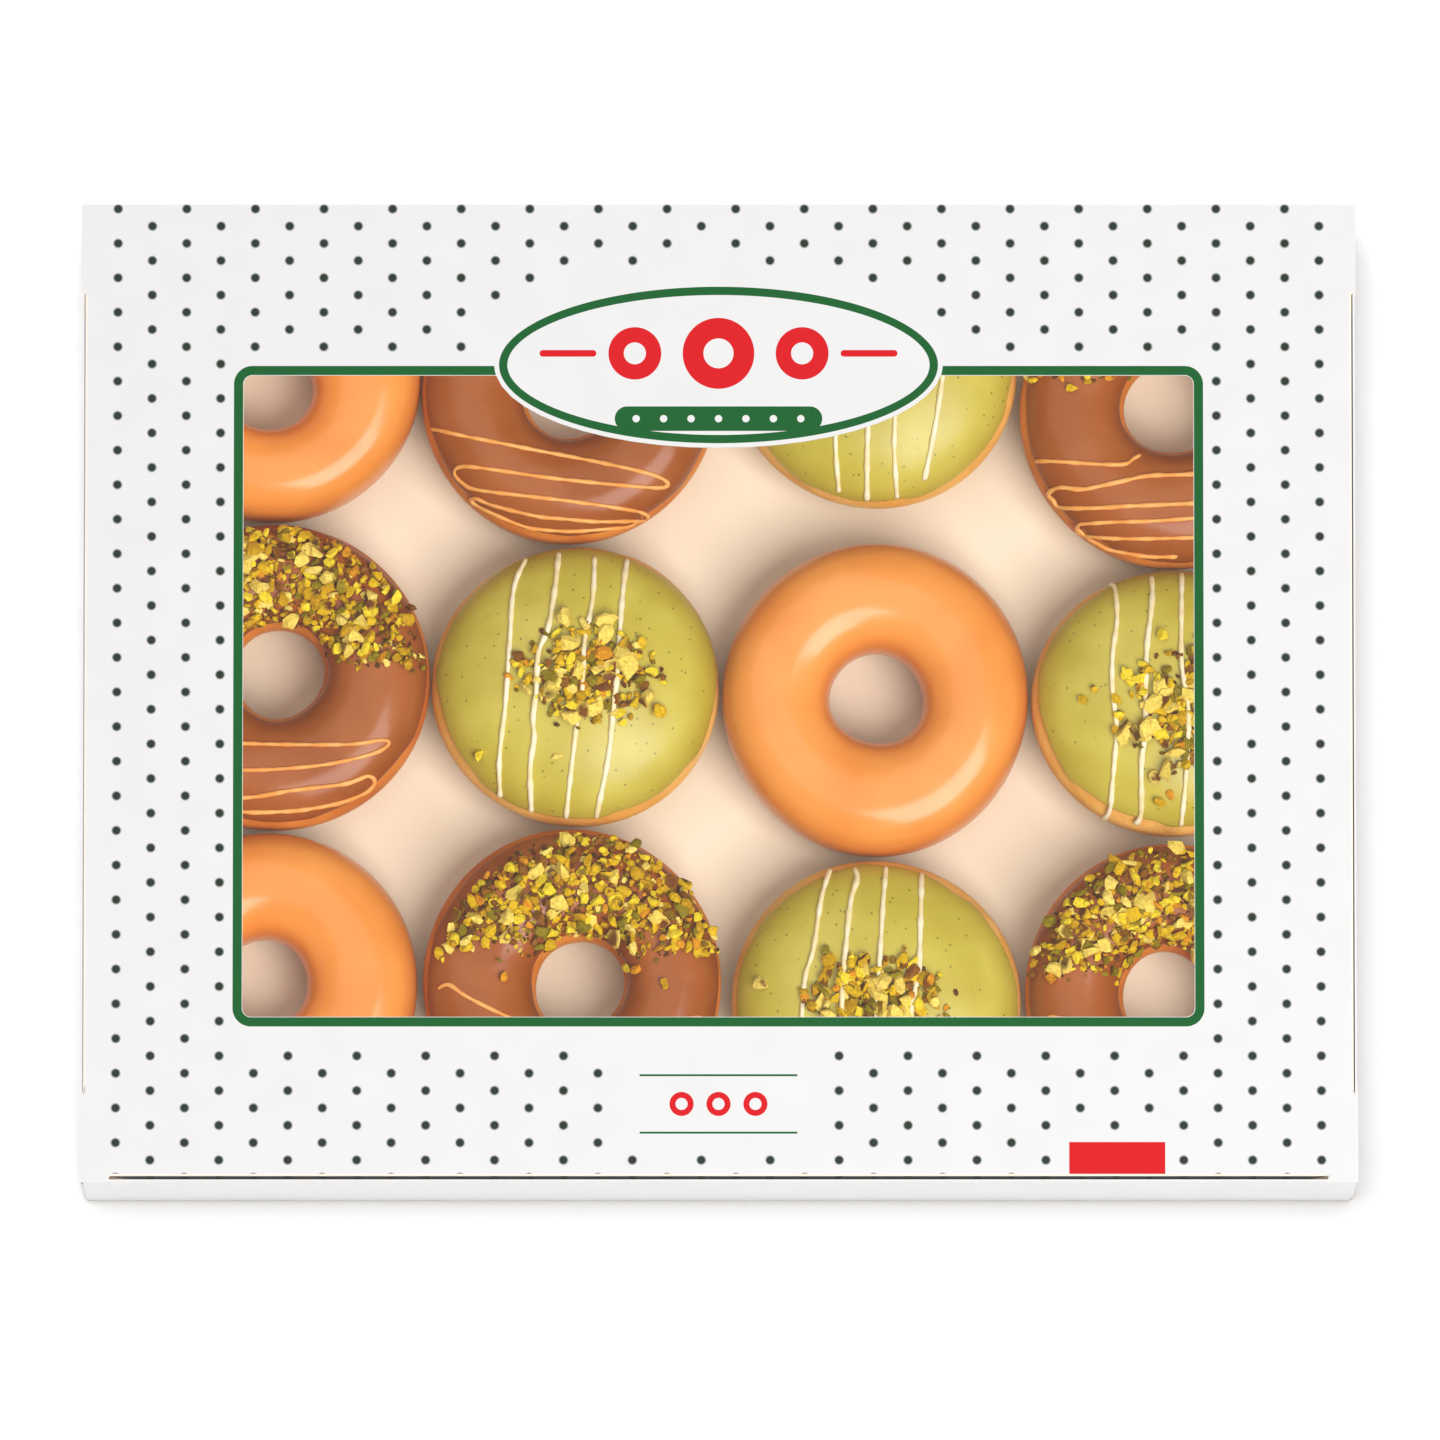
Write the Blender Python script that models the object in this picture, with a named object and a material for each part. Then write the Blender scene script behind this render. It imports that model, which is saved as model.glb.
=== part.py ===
"""A flat carton of a dozen doughnuts, lid shut, with a film window in the lid.

Frame: origin at the middle of the carton's underside, +Z up, +X to the right and
+Y to the back, where the lid is creased to the back wall. Units are metres.
"""

import math
import random

import bmesh
import bpy
import numpy as np
from mathutils import Matrix, Vector

MM = 0.001

# Carton: one sheet of board, folded into a tray and a lid
BOX_W = 381 * MM
BOX_D = 294 * MM
BOX_H = 57 * MM
BOARD = 0.6 * MM
GAP = 0.3 * MM
TRAY_INSET = 0.3 * MM
FOLD_RADIUS = 0.9 * MM
FOLD_STEPS = 2
SHARP_EDGE = math.radians(35)
GLUE_TAB = (24 * MM, 38 * MM)
TAB_LIFT = 5 * MM

# Lid: window, label tab that hangs into the window, tuck flap and side flaps
WINDOW_W = 283.8 * MM
WINDOW_D = 192.8 * MM
WINDOW_Y = -1.1 * MM
WINDOW_CORNER = 2.6 * MM
LABEL_W = 134 * MM
LABEL_D = 50 * MM
LABEL_Y = 98.5 * MM
ARC_STEPS = 4
LABEL_STEPS = 22
TUCK_W = 363 * MM
TUCK_DEPTH = 24 * MM
TUCK_SETBACK = 1.9 * MM
TUCK_LEAN = math.radians(2.5)
TUCK_TAPER = 9 * MM
SIDE_W = 240 * MM
SIDE_DEPTH = 20 * MM
SIDE_SETBACK = 1.3 * MM
SIDE_LEAN = math.radians(1.5)
SIDE_TAPER = 8 * MM
FLAP_ENDS = ((0.55, 0.35), (0.9, 0.7), (1.0, 1.0))
FLAP_FOLD = 0.55 * MM
FILM = 0.2 * MM
FILM_MARGIN = 8 * MM

# Doughnuts, in the carton's three rows of four
FLOOR_Z = BOARD + GAP
RING_H = 33 * MM
BUN_H = 38 * MM
BUN_WAIST = 17 * MM
SECTION_POWER = 2.35
BUN_POWER = 2.3
ICING = 1.8 * MM
RING_ICING_OUT = math.radians(22)
RING_ICING_IN = math.radians(152)
BUN_ICING_OUT = math.radians(24)
RIM_GAP = math.radians(1.5)
TURNS = 22
GLAZED_TURNS = 24
GLAZED_STEPS = 12
ICING_STEPS = 4
RING_BASE_STEPS = 4
BUN_BASE_STEPS = 5
SOFT_EDGE = math.radians(60)

# Row and column: kind, then in millimetres centre x and y, half width and half depth,
# and for a ring the hole's offset in x and y and its radius
DOUGHNUTS = {
    "r1c1": ("glazed", -134.7, 100.5, 45.9, 44.4, -0.9, -3.9, 12.9),
    "r1c2": ("choc", -44.9, 94.6, 44.7, 44.9, 0.0, 0.0, 13.2),
    "r1c3": ("green", 47.1, 102.2, 43.0, 42.0),
    "r1c4": ("choc", 136.2, 88.5, 45.9, 46.3, -0.6, 1.8, 13.6),
    "r2c1": ("choc", -132.6, 9.1, 46.2, 46.3, 0.9, 1.1, 13.4),
    "r2c2": ("green", -42.7, 6.4, 43.4, 42.4),
    "r2c3": ("glazed", 47.1, 2.6, 46.1, 47.4, 0.3, 0.0, 13.8),
    "r2c4": ("green", 135.7, 1.4, 42.0, 40.3),
    "r3c1": ("glazed", -135.4, -83.9, 45.6, 46.2, -0.7, 1.1, 12.9),
    "r3c2": ("choc", -44.0, -82.3, 44.9, 45.5, 2.5, -1.8, 13.3),
    "r3c3": ("green", 47.1, -88.6, 43.6, 42.4),
    "r3c4": ("choc", 136.2, -86.3, 44.9, 45.2, -2.1, -1.1, 13.4),
}

# Toppings that are fused to the icing
CRUMB = 4.2 * MM
CRUMB_OUT = 0.28
CRUMB_TIP = 0.3
CRUMB_SIZES = (0.8, 1.12)
CHOC_CRUMBS = 9
CRUMB_REACH = (0.15, 0.85, 0.5)
HOLE_MARGIN = 5 * MM
RIM_MARGIN = 9 * MM
GREEN_CRUMBS = 6
CLUSTER_REACH = (0.35, 0.75, 1.0)
CLUSTER_W = 19 * MM
CLUSTER_D = 13 * MM
RIBBON_W = 2.4 * MM
RIBBON_UP = 0.8 * MM
RIBBON_DOWN = 1.1 * MM
GREEN_LINES = (-15.5, -5.5, 4.5, 14.5)
GREEN_SLANT = 0.09
GREEN_LINE_SHARE = 0.8
CHOC_LINES = (-22.0, -31.0)
CHOC_LINE_SHARE = 0.72
CHOC_LINE_RISE = 1.2 * MM
LINE_STEPS = 7


def clear_scene():
    """Removes whatever the file opened with."""
    for obj in list(bpy.data.objects):
        bpy.data.objects.remove(obj)


def finish_material(name, colour, roughness, alpha=1.0):
    """A Principled material with one plain colour."""
    material = bpy.data.materials.new(name)
    material.use_nodes = True
    shader = material.node_tree.nodes["Principled BSDF"]
    shader.inputs["Base Color"].default_value = (*colour, 1)
    shader.inputs["Roughness"].default_value = roughness
    shader.inputs["Metallic"].default_value = 0
    shader.inputs["Alpha"].default_value = alpha
    return material


def add_object(name, bm, material, location=(0, 0, 0)):
    """Turns a bmesh into a named object, closed ones with outward normals."""
    if all(len(edge.link_faces) == 2 for edge in bm.edges):
        bmesh.ops.recalc_face_normals(bm, faces=bm.faces)
    mesh = bpy.data.meshes.new(name)
    bm.to_mesh(mesh)
    bm.free()
    obj = bpy.data.objects.new(name, mesh)
    obj.location = location
    obj.data.materials.append(material)
    bpy.context.scene.collection.objects.link(obj)
    return obj


def apply_modifiers(obj):
    """Replaces the object's mesh with the one its modifiers make."""
    graph = bpy.context.evaluated_depsgraph_get()
    mesh = bpy.data.meshes.new_from_object(obj.evaluated_get(graph))
    obj.modifiers.clear()
    obj.data = mesh


def smooth(obj, angle):
    """Shades round faces smooth and keeps folds sharper than the angle sharp."""
    obj.data.shade_smooth()
    obj.data.set_sharp_from_angle(angle=angle)


def slab(bm, low, high):
    """Adds a box between two corners to a bmesh."""
    size = Vector(high) - Vector(low)
    centre = (Vector(high) + Vector(low)) / 2
    matrix = Matrix.Translation(centre) @ Matrix.Diagonal((*size, 1))
    bmesh.ops.create_cube(bm, size=1, matrix=matrix)


def hang(obj, hinge):
    """Parents an object to the hinge's empty and leaves it where it is."""
    obj.parent = hinge
    obj.matrix_parent_inverse = Matrix.Translation(hinge.location).inverted()


def solidify(obj):
    """Gives a folded sheet the board's thickness, towards its inside."""
    modifier = obj.modifiers.new("board", "SOLIDIFY")
    modifier.thickness = BOARD
    modifier.offset = -1
    modifier.use_even_offset = True


def fuse(obj, extras, solver):
    """Unions the extra objects into obj, applies that, and removes them."""
    group = bpy.data.collections.new(obj.name + "_extras")
    bpy.context.scene.collection.children.link(group)
    for extra in extras:
        bpy.context.scene.collection.objects.unlink(extra)
        group.objects.link(extra)
    modifier = obj.modifiers.new("fuse", "BOOLEAN")
    modifier.operation = "UNION"
    modifier.operand_type = "COLLECTION"
    modifier.collection = group
    modifier.solver = solver
    bpy.context.view_layer.update()
    apply_modifiers(obj)
    for extra in extras:
        bpy.data.objects.remove(extra)
    bpy.data.collections.remove(group)


def build_tray(board):
    """The lower part: floor and four walls with rounded folds and glued corner tabs."""
    half_w = BOX_W / 2 - TRAY_INSET
    half_d = BOX_D / 2 - TRAY_INSET
    top = BOX_H - BOARD - GAP
    bm = bmesh.new()
    slab(bm, (-half_w, -half_d, 0), (half_w, half_d, top))
    lids = [f for f in bm.faces if f.normal.z > 0.5]
    bmesh.ops.delete(bm, geom=lids, context="FACES_ONLY")
    folds = [e for e in bm.edges if len(e.link_faces) == 2]
    bmesh.ops.bevel(bm, geom=folds, offset=FOLD_RADIUS, segments=FOLD_STEPS, affect="EDGES")
    bmesh.ops.recalc_face_normals(bm, faces=bm.faces)
    tray = add_object("tray", bm, board)
    solidify(tray)
    apply_modifiers(tray)
    tabs = []
    length, height = GLUE_TAB
    for side in (-1, 1):
        for end in (-1, 1):
            inner_x = side * (half_w - BOARD)
            inner_y = end * (half_d - BOARD / 2)
            corners = [
                (inner_x + side * BOARD / 2, inner_y, TAB_LIFT),
                (inner_x - side * BOARD, inner_y - end * length, TAB_LIFT + height),
            ]
            tab = bmesh.new()
            slab(tab, np.min(corners, axis=0), np.max(corners, axis=0))
            tabs.append(add_object(f"tab{side}{end}", tab, board))
    fuse(tray, tabs, "EXACT")
    smooth(tray, SHARP_EDGE)


def build_hinge():
    """An empty on the crease between the lid and the back wall, which carries what opens."""
    hinge = bpy.data.objects.new("lid_hinge", None)
    hinge.location = (0, BOX_D / 2, BOX_H - BOARD)
    bpy.context.scene.collection.objects.link(hinge)
    return hinge


def window_outline():
    """The window's edge: a rectangle with round corners, and the label's lower half in its top side."""
    low_x, high_x = -WINDOW_W / 2, WINDOW_W / 2
    low_y, high_y = WINDOW_Y - WINDOW_D / 2, WINDOW_Y + WINDOW_D / 2
    points = []
    corners = [
        (high_x - WINDOW_CORNER, high_y - WINDOW_CORNER, 0),
        (low_x + WINDOW_CORNER, high_y - WINDOW_CORNER, 90),
        (low_x + WINDOW_CORNER, low_y + WINDOW_CORNER, 180),
        (high_x - WINDOW_CORNER, low_y + WINDOW_CORNER, 270),
    ]
    for index, (x, y, start) in enumerate(corners):
        for step in range(ARC_STEPS + 1):
            angle = math.radians(start + 90 * step / ARC_STEPS)
            points.append((x + WINDOW_CORNER * math.cos(angle), y + WINDOW_CORNER * math.sin(angle)))
        if index == 0:
            points += label_edge(high_y)
    return points


def label_edge(high_y):
    """The label's ellipse below the window's top side, from right to left."""
    drop = math.asin((high_y - LABEL_Y) / (LABEL_D / 2))
    points = []
    for step in range(LABEL_STEPS + 1):
        angle = drop - (math.pi + 2 * drop) * step / LABEL_STEPS
        points.append((LABEL_W / 2 * math.cos(angle), LABEL_Y + LABEL_D / 2 * math.sin(angle)))
    return points


def lid_outline():
    """The lid panel's edge, set back at the three folds that carry flaps."""
    w, d = BOX_W / 2, BOX_D / 2
    front = -d + TUCK_SETBACK
    side = w - SIDE_SETBACK
    tuck, flap = TUCK_W / 2, SIDE_W / 2
    return [
        (-w, -d), (-tuck, -d), (-tuck, front), (tuck, front), (tuck, -d), (w, -d),
        (w, -flap), (side, -flap), (side, flap), (w, flap), (w, d),
        (-w, d), (-w, flap), (-side, flap), (-side, -flap), (-w, -flap),
    ]


def fold_down(bm, edge, outward, depth, lean, taper):
    """Adds a flap down from an edge, leaning inwards, with slanted ends and clipped corners."""
    along = (edge.verts[1].co - edge.verts[0].co).normalized()
    drop = Vector((0, 0, -math.cos(lean))) - Vector(outward) * math.sin(lean)
    rows = [edge.verts[:]]
    for share, inset in FLAP_ENDS:
        shift = (along * taper * inset, -along * taper * inset)
        made = [bm.verts.new(edge.verts[k].co + drop * depth * share + shift[k]) for k in (0, 1)]
        rows.append(made)
    for upper, lower in zip(rows, rows[1:]):
        bm.faces.new((upper[0], upper[1], lower[1], lower[0]))
    return edge


def build_lid(board, hinge):
    """The upper part: a panel with its window, a front tuck flap and two side flaps."""
    bm = bmesh.new()
    edges = []
    for outline in (lid_outline(), window_outline()):
        verts = [bm.verts.new((x, y, BOX_H)) for x, y in outline]
        edges += [bm.edges.new((verts[k - 1], verts[k])) for k in range(len(verts))]
    bmesh.ops.triangle_fill(bm, edges=edges, use_beauty=True, normal=(0, 0, 1))

    def fold_edge(x, y):
        """The boundary edge whose middle is nearest to this point."""
        place = Vector((x, y, BOX_H))
        return min(edges, key=lambda e: ((e.verts[0].co + e.verts[1].co) / 2 - place).length)

    front = fold_edge(0, -BOX_D / 2 + TUCK_SETBACK)
    right = fold_edge(BOX_W / 2 - SIDE_SETBACK, 0)
    left = fold_edge(-BOX_W / 2 + SIDE_SETBACK, 0)
    folds = [
        fold_down(bm, front, (0, -1, 0), TUCK_DEPTH, TUCK_LEAN, TUCK_TAPER),
        fold_down(bm, right, (1, 0, 0), SIDE_DEPTH, SIDE_LEAN, SIDE_TAPER),
        fold_down(bm, left, (-1, 0, 0), SIDE_DEPTH, SIDE_LEAN, SIDE_TAPER),
    ]
    bmesh.ops.recalc_face_normals(bm, faces=bm.faces)
    if next(f for f in bm.faces if abs(f.normal.z) > 0.9).normal.z < 0:
        bmesh.ops.reverse_faces(bm, faces=bm.faces)
    bmesh.ops.bevel(bm, geom=folds, offset=FLAP_FOLD, segments=FOLD_STEPS, affect="EDGES")
    lid = add_object("lid", bm, board)
    solidify(lid)
    apply_modifiers(lid)
    smooth(lid, SHARP_EDGE)
    hang(lid, hinge)


def build_film(clear, hinge):
    """The clear film that is glued under the lid, past the window on every side."""
    top = BOX_H - BOARD - GAP
    half_w = WINDOW_W / 2 + FILM_MARGIN
    half_d = WINDOW_D / 2 + FILM_MARGIN
    bm = bmesh.new()
    slab(bm, (-half_w, WINDOW_Y - half_d, top - FILM), (half_w, WINDOW_Y + half_d, top))
    hang(add_object("window_film", bm, clear), hinge)


def power(value, exponent):
    """A signed power, for a superellipse."""
    return math.copysign(abs(value) ** exponent, value)


class Doughnut:
    """One doughnut's place and outline, and its surface as a function of two angles.

    Points are from the doughnut's own centre, at the height of the carton's floor.
    """

    def __init__(self, label):
        kind, x, y, half_w, half_d, *hole = DOUGHNUTS[label]
        self.label = label
        self.kind = kind
        self.hole_place = [length * MM for length in hole]
        self.centre = (x * MM, y * MM, FLOOR_Z)
        self.half_w = half_w * MM
        self.half_d = half_d * MM
        self.holed = bool(hole)
        self.draw = random.Random(label)
        self.phase = self.draw.uniform(0, 2 * math.pi)

    def outer(self, turn):
        """The outline's radius at this angle round the doughnut."""
        ellipse = 1 / math.hypot(math.cos(turn) / self.half_w, math.sin(turn) / self.half_d)
        return ellipse * (1 - 0.005 * (1 + math.sin(3 * turn + self.phase)))

    def hole(self, turn):
        """The hole's radius at this angle."""
        x, y, radius = self.hole_place
        wave = 1 + 0.02 * math.sin(2 * turn + self.phase) + 0.02 * math.sin(3 * turn - self.phase)
        return radius * wave + x * math.cos(turn) + y * math.sin(turn)

    def surface(self, turn, tilt, inset=0.0):
        """A point on the doughnut: turn goes round it and tilt round its section, 90 degrees on top."""
        outer = self.outer(turn)
        if self.holed:
            middle = (outer + self.hole(turn)) / 2
            half = (outer - self.hole(turn)) / 2 - inset
            rise = RING_H / 2 - inset
            reach = middle + half * power(math.cos(tilt), 2 / SECTION_POWER)
            height = RING_H / 2 + rise * power(math.sin(tilt), 2 / SECTION_POWER)
        else:
            above = BUN_H - BUN_WAIST if tilt > 0 else BUN_WAIST
            reach = (outer - inset) * power(math.cos(tilt), 2 / BUN_POWER)
            height = BUN_WAIST + (above - inset) * power(math.sin(tilt), 2 / BUN_POWER)
        return Vector((reach * math.cos(turn), reach * math.sin(turn), height))

    def top_at(self, x, y):
        """The upper surface's point above the place x, y from the doughnut's centre."""
        turn = math.atan2(y, x)
        wanted = math.hypot(x, y)
        low, high = 0.0, math.pi if self.holed else math.pi / 2
        for _ in range(40):
            tilt = (low + high) / 2
            point = self.surface(turn, tilt)
            low, high = (tilt, high) if math.hypot(point.x, point.y) > wanted else (low, tilt)
        return self.surface(turn, tilt)

    def seat(self, x, y, along=(1, 0, 0)):
        """A matrix at the surface's point at x, y, with Z outward and X as near along as it can be."""
        step = 0.5 * MM
        origin = self.top_at(x, y)
        up = (self.top_at(x + step, y) - origin).cross(self.top_at(x, y + step) - origin).normalized()
        side = up.cross(Vector(along)).normalized()
        turned = Matrix((side.cross(up), side, up)).transposed().to_4x4()
        return Matrix.Translation(origin) @ turned


def lathe(rows, closed):
    """A bmesh from a row of points for each turn: a closed section, or an open one that ends in two poles."""
    bm = bmesh.new()
    grid = []
    poles = [None, None]
    for row in rows:
        line = list(row)
        if not closed:
            for index, end in enumerate((0, -1)):
                poles[index] = poles[index] or bm.verts.new(line[end])
            line = line[1:-1]
        grid.append([bm.verts.new(point) for point in line])
    count = len(grid[0])
    for this, after in zip(grid, grid[1:] + grid[:1]):
        for k in range(count if closed else count - 1):
            after_k = (k + 1) % count
            bm.faces.new((this[k], this[after_k], after[after_k], after[k]))
        if not closed:
            bm.faces.new((poles[0], this[0], after[0]))
            bm.faces.new((poles[1], after[-1], this[-1]))
    return bm


def spread(start, end, count):
    """Evenly spaced values from start to end."""
    return [start + (end - start) * k / (count - 1) for k in range(count)]


def turns_of(count):
    """The angles round a doughnut."""
    return [2 * math.pi * k / count for k in range(count)]


def build_glazed(doughnut, dough):
    """A plain ring, whose thin glaze is only a finish."""
    tilts = spread(-math.pi, math.pi, GLAZED_STEPS + 1)[1:]
    rows = [[doughnut.surface(turn, tilt) for tilt in tilts] for turn in turns_of(GLAZED_TURNS)]
    obj = add_object("dough_" + doughnut.label, lathe(rows, True), dough, doughnut.centre)
    smooth(obj, SOFT_EDGE)


def icing_tilts(doughnut, count):
    """The angles round the section that the icing covers."""
    if doughnut.holed:
        return spread(RING_ICING_OUT, RING_ICING_IN, count)
    return spread(BUN_ICING_OUT, math.pi / 2, count)


def build_iced_dough(doughnut, dough):
    """The dough under an icing: full below the icing's rim, and set in by its thickness above."""
    inset = ICING + GAP
    covered = icing_tilts(doughnut, ICING_STEPS)
    if doughnut.holed:
        bare = spread(RING_ICING_IN + RIM_GAP - 2 * math.pi, -math.pi / 2, RING_BASE_STEPS)[:-1]
        bare += spread(-math.pi / 2, RING_ICING_OUT - RIM_GAP, RING_BASE_STEPS)
    else:
        bare = spread(-math.pi / 2, BUN_ICING_OUT - RIM_GAP, BUN_BASE_STEPS)
    rows = []
    for turn in turns_of(TURNS):
        row = [doughnut.surface(turn, tilt) for tilt in bare]
        row += [doughnut.surface(turn, tilt, inset) for tilt in covered]
        rows.append(row)
    obj = add_object("dough_" + doughnut.label, lathe(rows, doughnut.holed), dough, doughnut.centre)
    smooth(obj, SOFT_EDGE)


def build_icing(doughnut, icing):
    """The icing's cap, as thick all over, with its toppings fused on."""
    over = icing_tilts(doughnut, ICING_STEPS + 1)
    under = icing_tilts(doughnut, ICING_STEPS)[::-1]
    rows = []
    for turn in turns_of(TURNS):
        row = [doughnut.surface(turn, tilt, ICING) for tilt in under]
        rows.append(row + [doughnut.surface(turn, tilt) for tilt in over])
    obj = add_object("icing_" + doughnut.label, lathe(rows, doughnut.holed), icing, doughnut.centre)
    toppings = build_toppings(doughnut, icing)
    fuse(obj, toppings, "MANIFOLD")
    smooth(obj, SOFT_EDGE)


def crumb(doughnut, x, y, size, name, material):
    """A nut crumb: a block with uneven corners, turned at random, half sunk in the icing."""
    draw = doughnut.draw
    bm = bmesh.new()
    bmesh.ops.create_cube(bm, size=size)
    for vert in bm.verts:
        vert.co *= draw.uniform(0.8, 1.15)
    turned = Matrix.Rotation(draw.uniform(0, math.pi), 4, "Z")
    tipped = Matrix.Rotation(draw.uniform(-CRUMB_TIP, CRUMB_TIP), 4, "X")
    raised = Matrix.Translation((0, 0, size * CRUMB_OUT))
    bmesh.ops.transform(bm, matrix=doughnut.seat(x, y) @ raised @ turned @ tipped, verts=bm.verts)
    return add_object(name, bm, material, doughnut.centre)


def ribbon(doughnut, route, name, material):
    """A thick drizzle along a route on the icing: a ridge, flat on top, sunk into the icing."""
    bm = bmesh.new()
    rows = []
    for index, (x, y) in enumerate(route):
        before, after = route[max(index - 1, 0)], route[min(index + 1, len(route) - 1)]
        seat = doughnut.seat(x, y, (after[0] - before[0], after[1] - before[1], 0))
        section = ((0, 0, RIBBON_UP), (0, RIBBON_W / 2, -RIBBON_DOWN), (0, -RIBBON_W / 2, -RIBBON_DOWN))
        rows.append([bm.verts.new(seat @ Vector(point)) for point in section])
    for this, after in zip(rows, rows[1:]):
        for k in range(3):
            bm.faces.new((this[k], this[k - 1], after[k - 1], after[k]))
    bm.faces.new(rows[0])
    bm.faces.new(rows[-1][::-1])
    return add_object(name, bm, material, doughnut.centre)


def build_toppings(doughnut, material):
    """Nut crumbs and drizzled lines, by kind."""
    if doughnut.kind == "choc":
        return choc_toppings(doughnut, material)
    return green_toppings(doughnut, material)


def choc_toppings(doughnut, material):
    """Crumbs over the back half, evenly spread round it, and drizzled lines over the front half."""
    made = []
    for k in range(CHOC_CRUMBS):
        angle = math.pi * (k + 0.8) / (CHOC_CRUMBS + 0.6)
        inner, outer = doughnut.hole(angle) + HOLE_MARGIN, doughnut.outer(angle) - RIM_MARGIN
        reach = inner + (outer - inner) * CRUMB_REACH[k % 3]
        size = CRUMB * doughnut.draw.uniform(*CRUMB_SIZES)
        place = (reach * math.cos(angle), reach * math.sin(angle))
        made.append(crumb(doughnut, *place, size, f"crumb{k}", material))
    for k, y in enumerate(CHOC_LINES):
        y = y * MM
        half = math.sqrt(doughnut.half_w**2 - y**2) * CHOC_LINE_SHARE
        rise = CHOC_LINE_RISE * (-1) ** k
        route = [(x, y + rise * x / half) for x in spread(-half, half, LINE_STEPS)]
        made.append(ribbon(doughnut, route, f"line{k}", material))
    return made


def green_toppings(doughnut, material):
    """Four drizzled lines from back to front, and a heap of crumbs round the middle."""
    made = []
    for k in range(GREEN_CRUMBS):
        angle = 2 * math.pi * k / GREEN_CRUMBS + doughnut.phase
        reach = CLUSTER_REACH[k % 3]
        size = CRUMB * doughnut.draw.uniform(*CRUMB_SIZES)
        place = (CLUSTER_W * reach * math.cos(angle), CLUSTER_D * reach * math.sin(angle))
        made.append(crumb(doughnut, *place, size, f"crumb{k}", material))
    for k, x in enumerate(GREEN_LINES):
        x = x * MM
        half = math.sqrt(doughnut.half_d**2 - x**2) * GREEN_LINE_SHARE
        route = [(x + GREEN_SLANT * y, y) for y in spread(-half, half, LINE_STEPS)]
        made.append(ribbon(doughnut, route, f"line{k}", material))
    return made


def build_doughnuts():
    """The twelve doughnuts, each a dough and, apart from the glazed rings, an icing."""
    dough = finish_material("dough", (0.66, 0.31, 0.09), 0.6)
    glaze = finish_material("glazed_dough", (0.86, 0.42, 0.13), 0.3)
    icings = {
        "choc": finish_material("chocolate_icing", (0.42, 0.14, 0.05), 0.35),
        "green": finish_material("pistachio_icing", (0.58, 0.48, 0.09), 0.4),
    }
    for label in DOUGHNUTS:
        doughnut = Doughnut(label)
        if doughnut.kind == "glazed":
            build_glazed(doughnut, glaze)
        else:
            build_iced_dough(doughnut, dough)
            build_icing(doughnut, icings[doughnut.kind])


def main():
    """Builds the carton, its film and its doughnuts."""
    clear_scene()
    board = finish_material("white_board", (0.87, 0.87, 0.86), 0.55)
    clear = finish_material("clear_film", (0.9, 0.9, 0.9), 0.05, alpha=0.15)
    build_tray(board)
    hinge = build_hinge()
    build_lid(board, hinge)
    build_film(clear, hinge)
    build_doughnuts()


main()
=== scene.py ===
"""A flat paperboard carton of a dozen doughnuts, lid shut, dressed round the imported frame.

Millimetres are used in the tables of sizes and turned to metres by MM. Every piece is in
the frame's own place: +Z up, +X right, +Y towards the crease of the lid.
"""

import logging
import math
import random
from collections.abc import Mapping, Sequence
from dataclasses import dataclass, field
from enum import Enum
from functools import partial
from typing import ClassVar

import bpy
import numpy as np
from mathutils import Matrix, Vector

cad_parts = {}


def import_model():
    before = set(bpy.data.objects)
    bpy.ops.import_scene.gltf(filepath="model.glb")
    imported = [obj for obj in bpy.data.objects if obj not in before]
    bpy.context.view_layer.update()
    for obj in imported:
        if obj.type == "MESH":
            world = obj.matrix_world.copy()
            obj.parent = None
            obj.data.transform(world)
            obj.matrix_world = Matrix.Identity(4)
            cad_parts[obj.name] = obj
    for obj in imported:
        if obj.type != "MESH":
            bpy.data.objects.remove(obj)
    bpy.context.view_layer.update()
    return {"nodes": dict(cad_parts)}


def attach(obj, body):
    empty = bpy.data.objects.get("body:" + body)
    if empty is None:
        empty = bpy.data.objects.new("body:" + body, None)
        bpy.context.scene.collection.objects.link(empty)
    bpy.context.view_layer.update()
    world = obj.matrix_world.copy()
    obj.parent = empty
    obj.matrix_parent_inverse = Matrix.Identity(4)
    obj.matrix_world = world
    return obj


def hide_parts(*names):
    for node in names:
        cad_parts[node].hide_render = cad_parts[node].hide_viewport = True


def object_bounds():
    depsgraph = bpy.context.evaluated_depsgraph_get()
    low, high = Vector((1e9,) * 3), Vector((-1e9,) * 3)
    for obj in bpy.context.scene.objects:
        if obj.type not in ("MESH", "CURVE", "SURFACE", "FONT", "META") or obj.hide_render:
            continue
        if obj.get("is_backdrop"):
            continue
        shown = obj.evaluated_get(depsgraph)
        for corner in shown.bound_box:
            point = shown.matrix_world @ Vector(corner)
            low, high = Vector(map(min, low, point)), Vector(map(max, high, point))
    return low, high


LOG = logging.getLogger("doughnut_carton")

MM = 0.001
FULL_TURN = 2 * math.pi

Tree = bpy.types.NodeTree
Node = bpy.types.Node
Socket = bpy.types.NodeSocket
Inputs = Mapping | Sequence

# What makes a Mix node mix colours: its inputs are then 0 the share, 6 the colour that
# lies under and 7 the colour over it.
COLOUR = {"output": 2, "data_type": "RGBA"}
# How far a face's direction leans to an axis before it counts as facing that way.
FACING = 0.5


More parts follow.
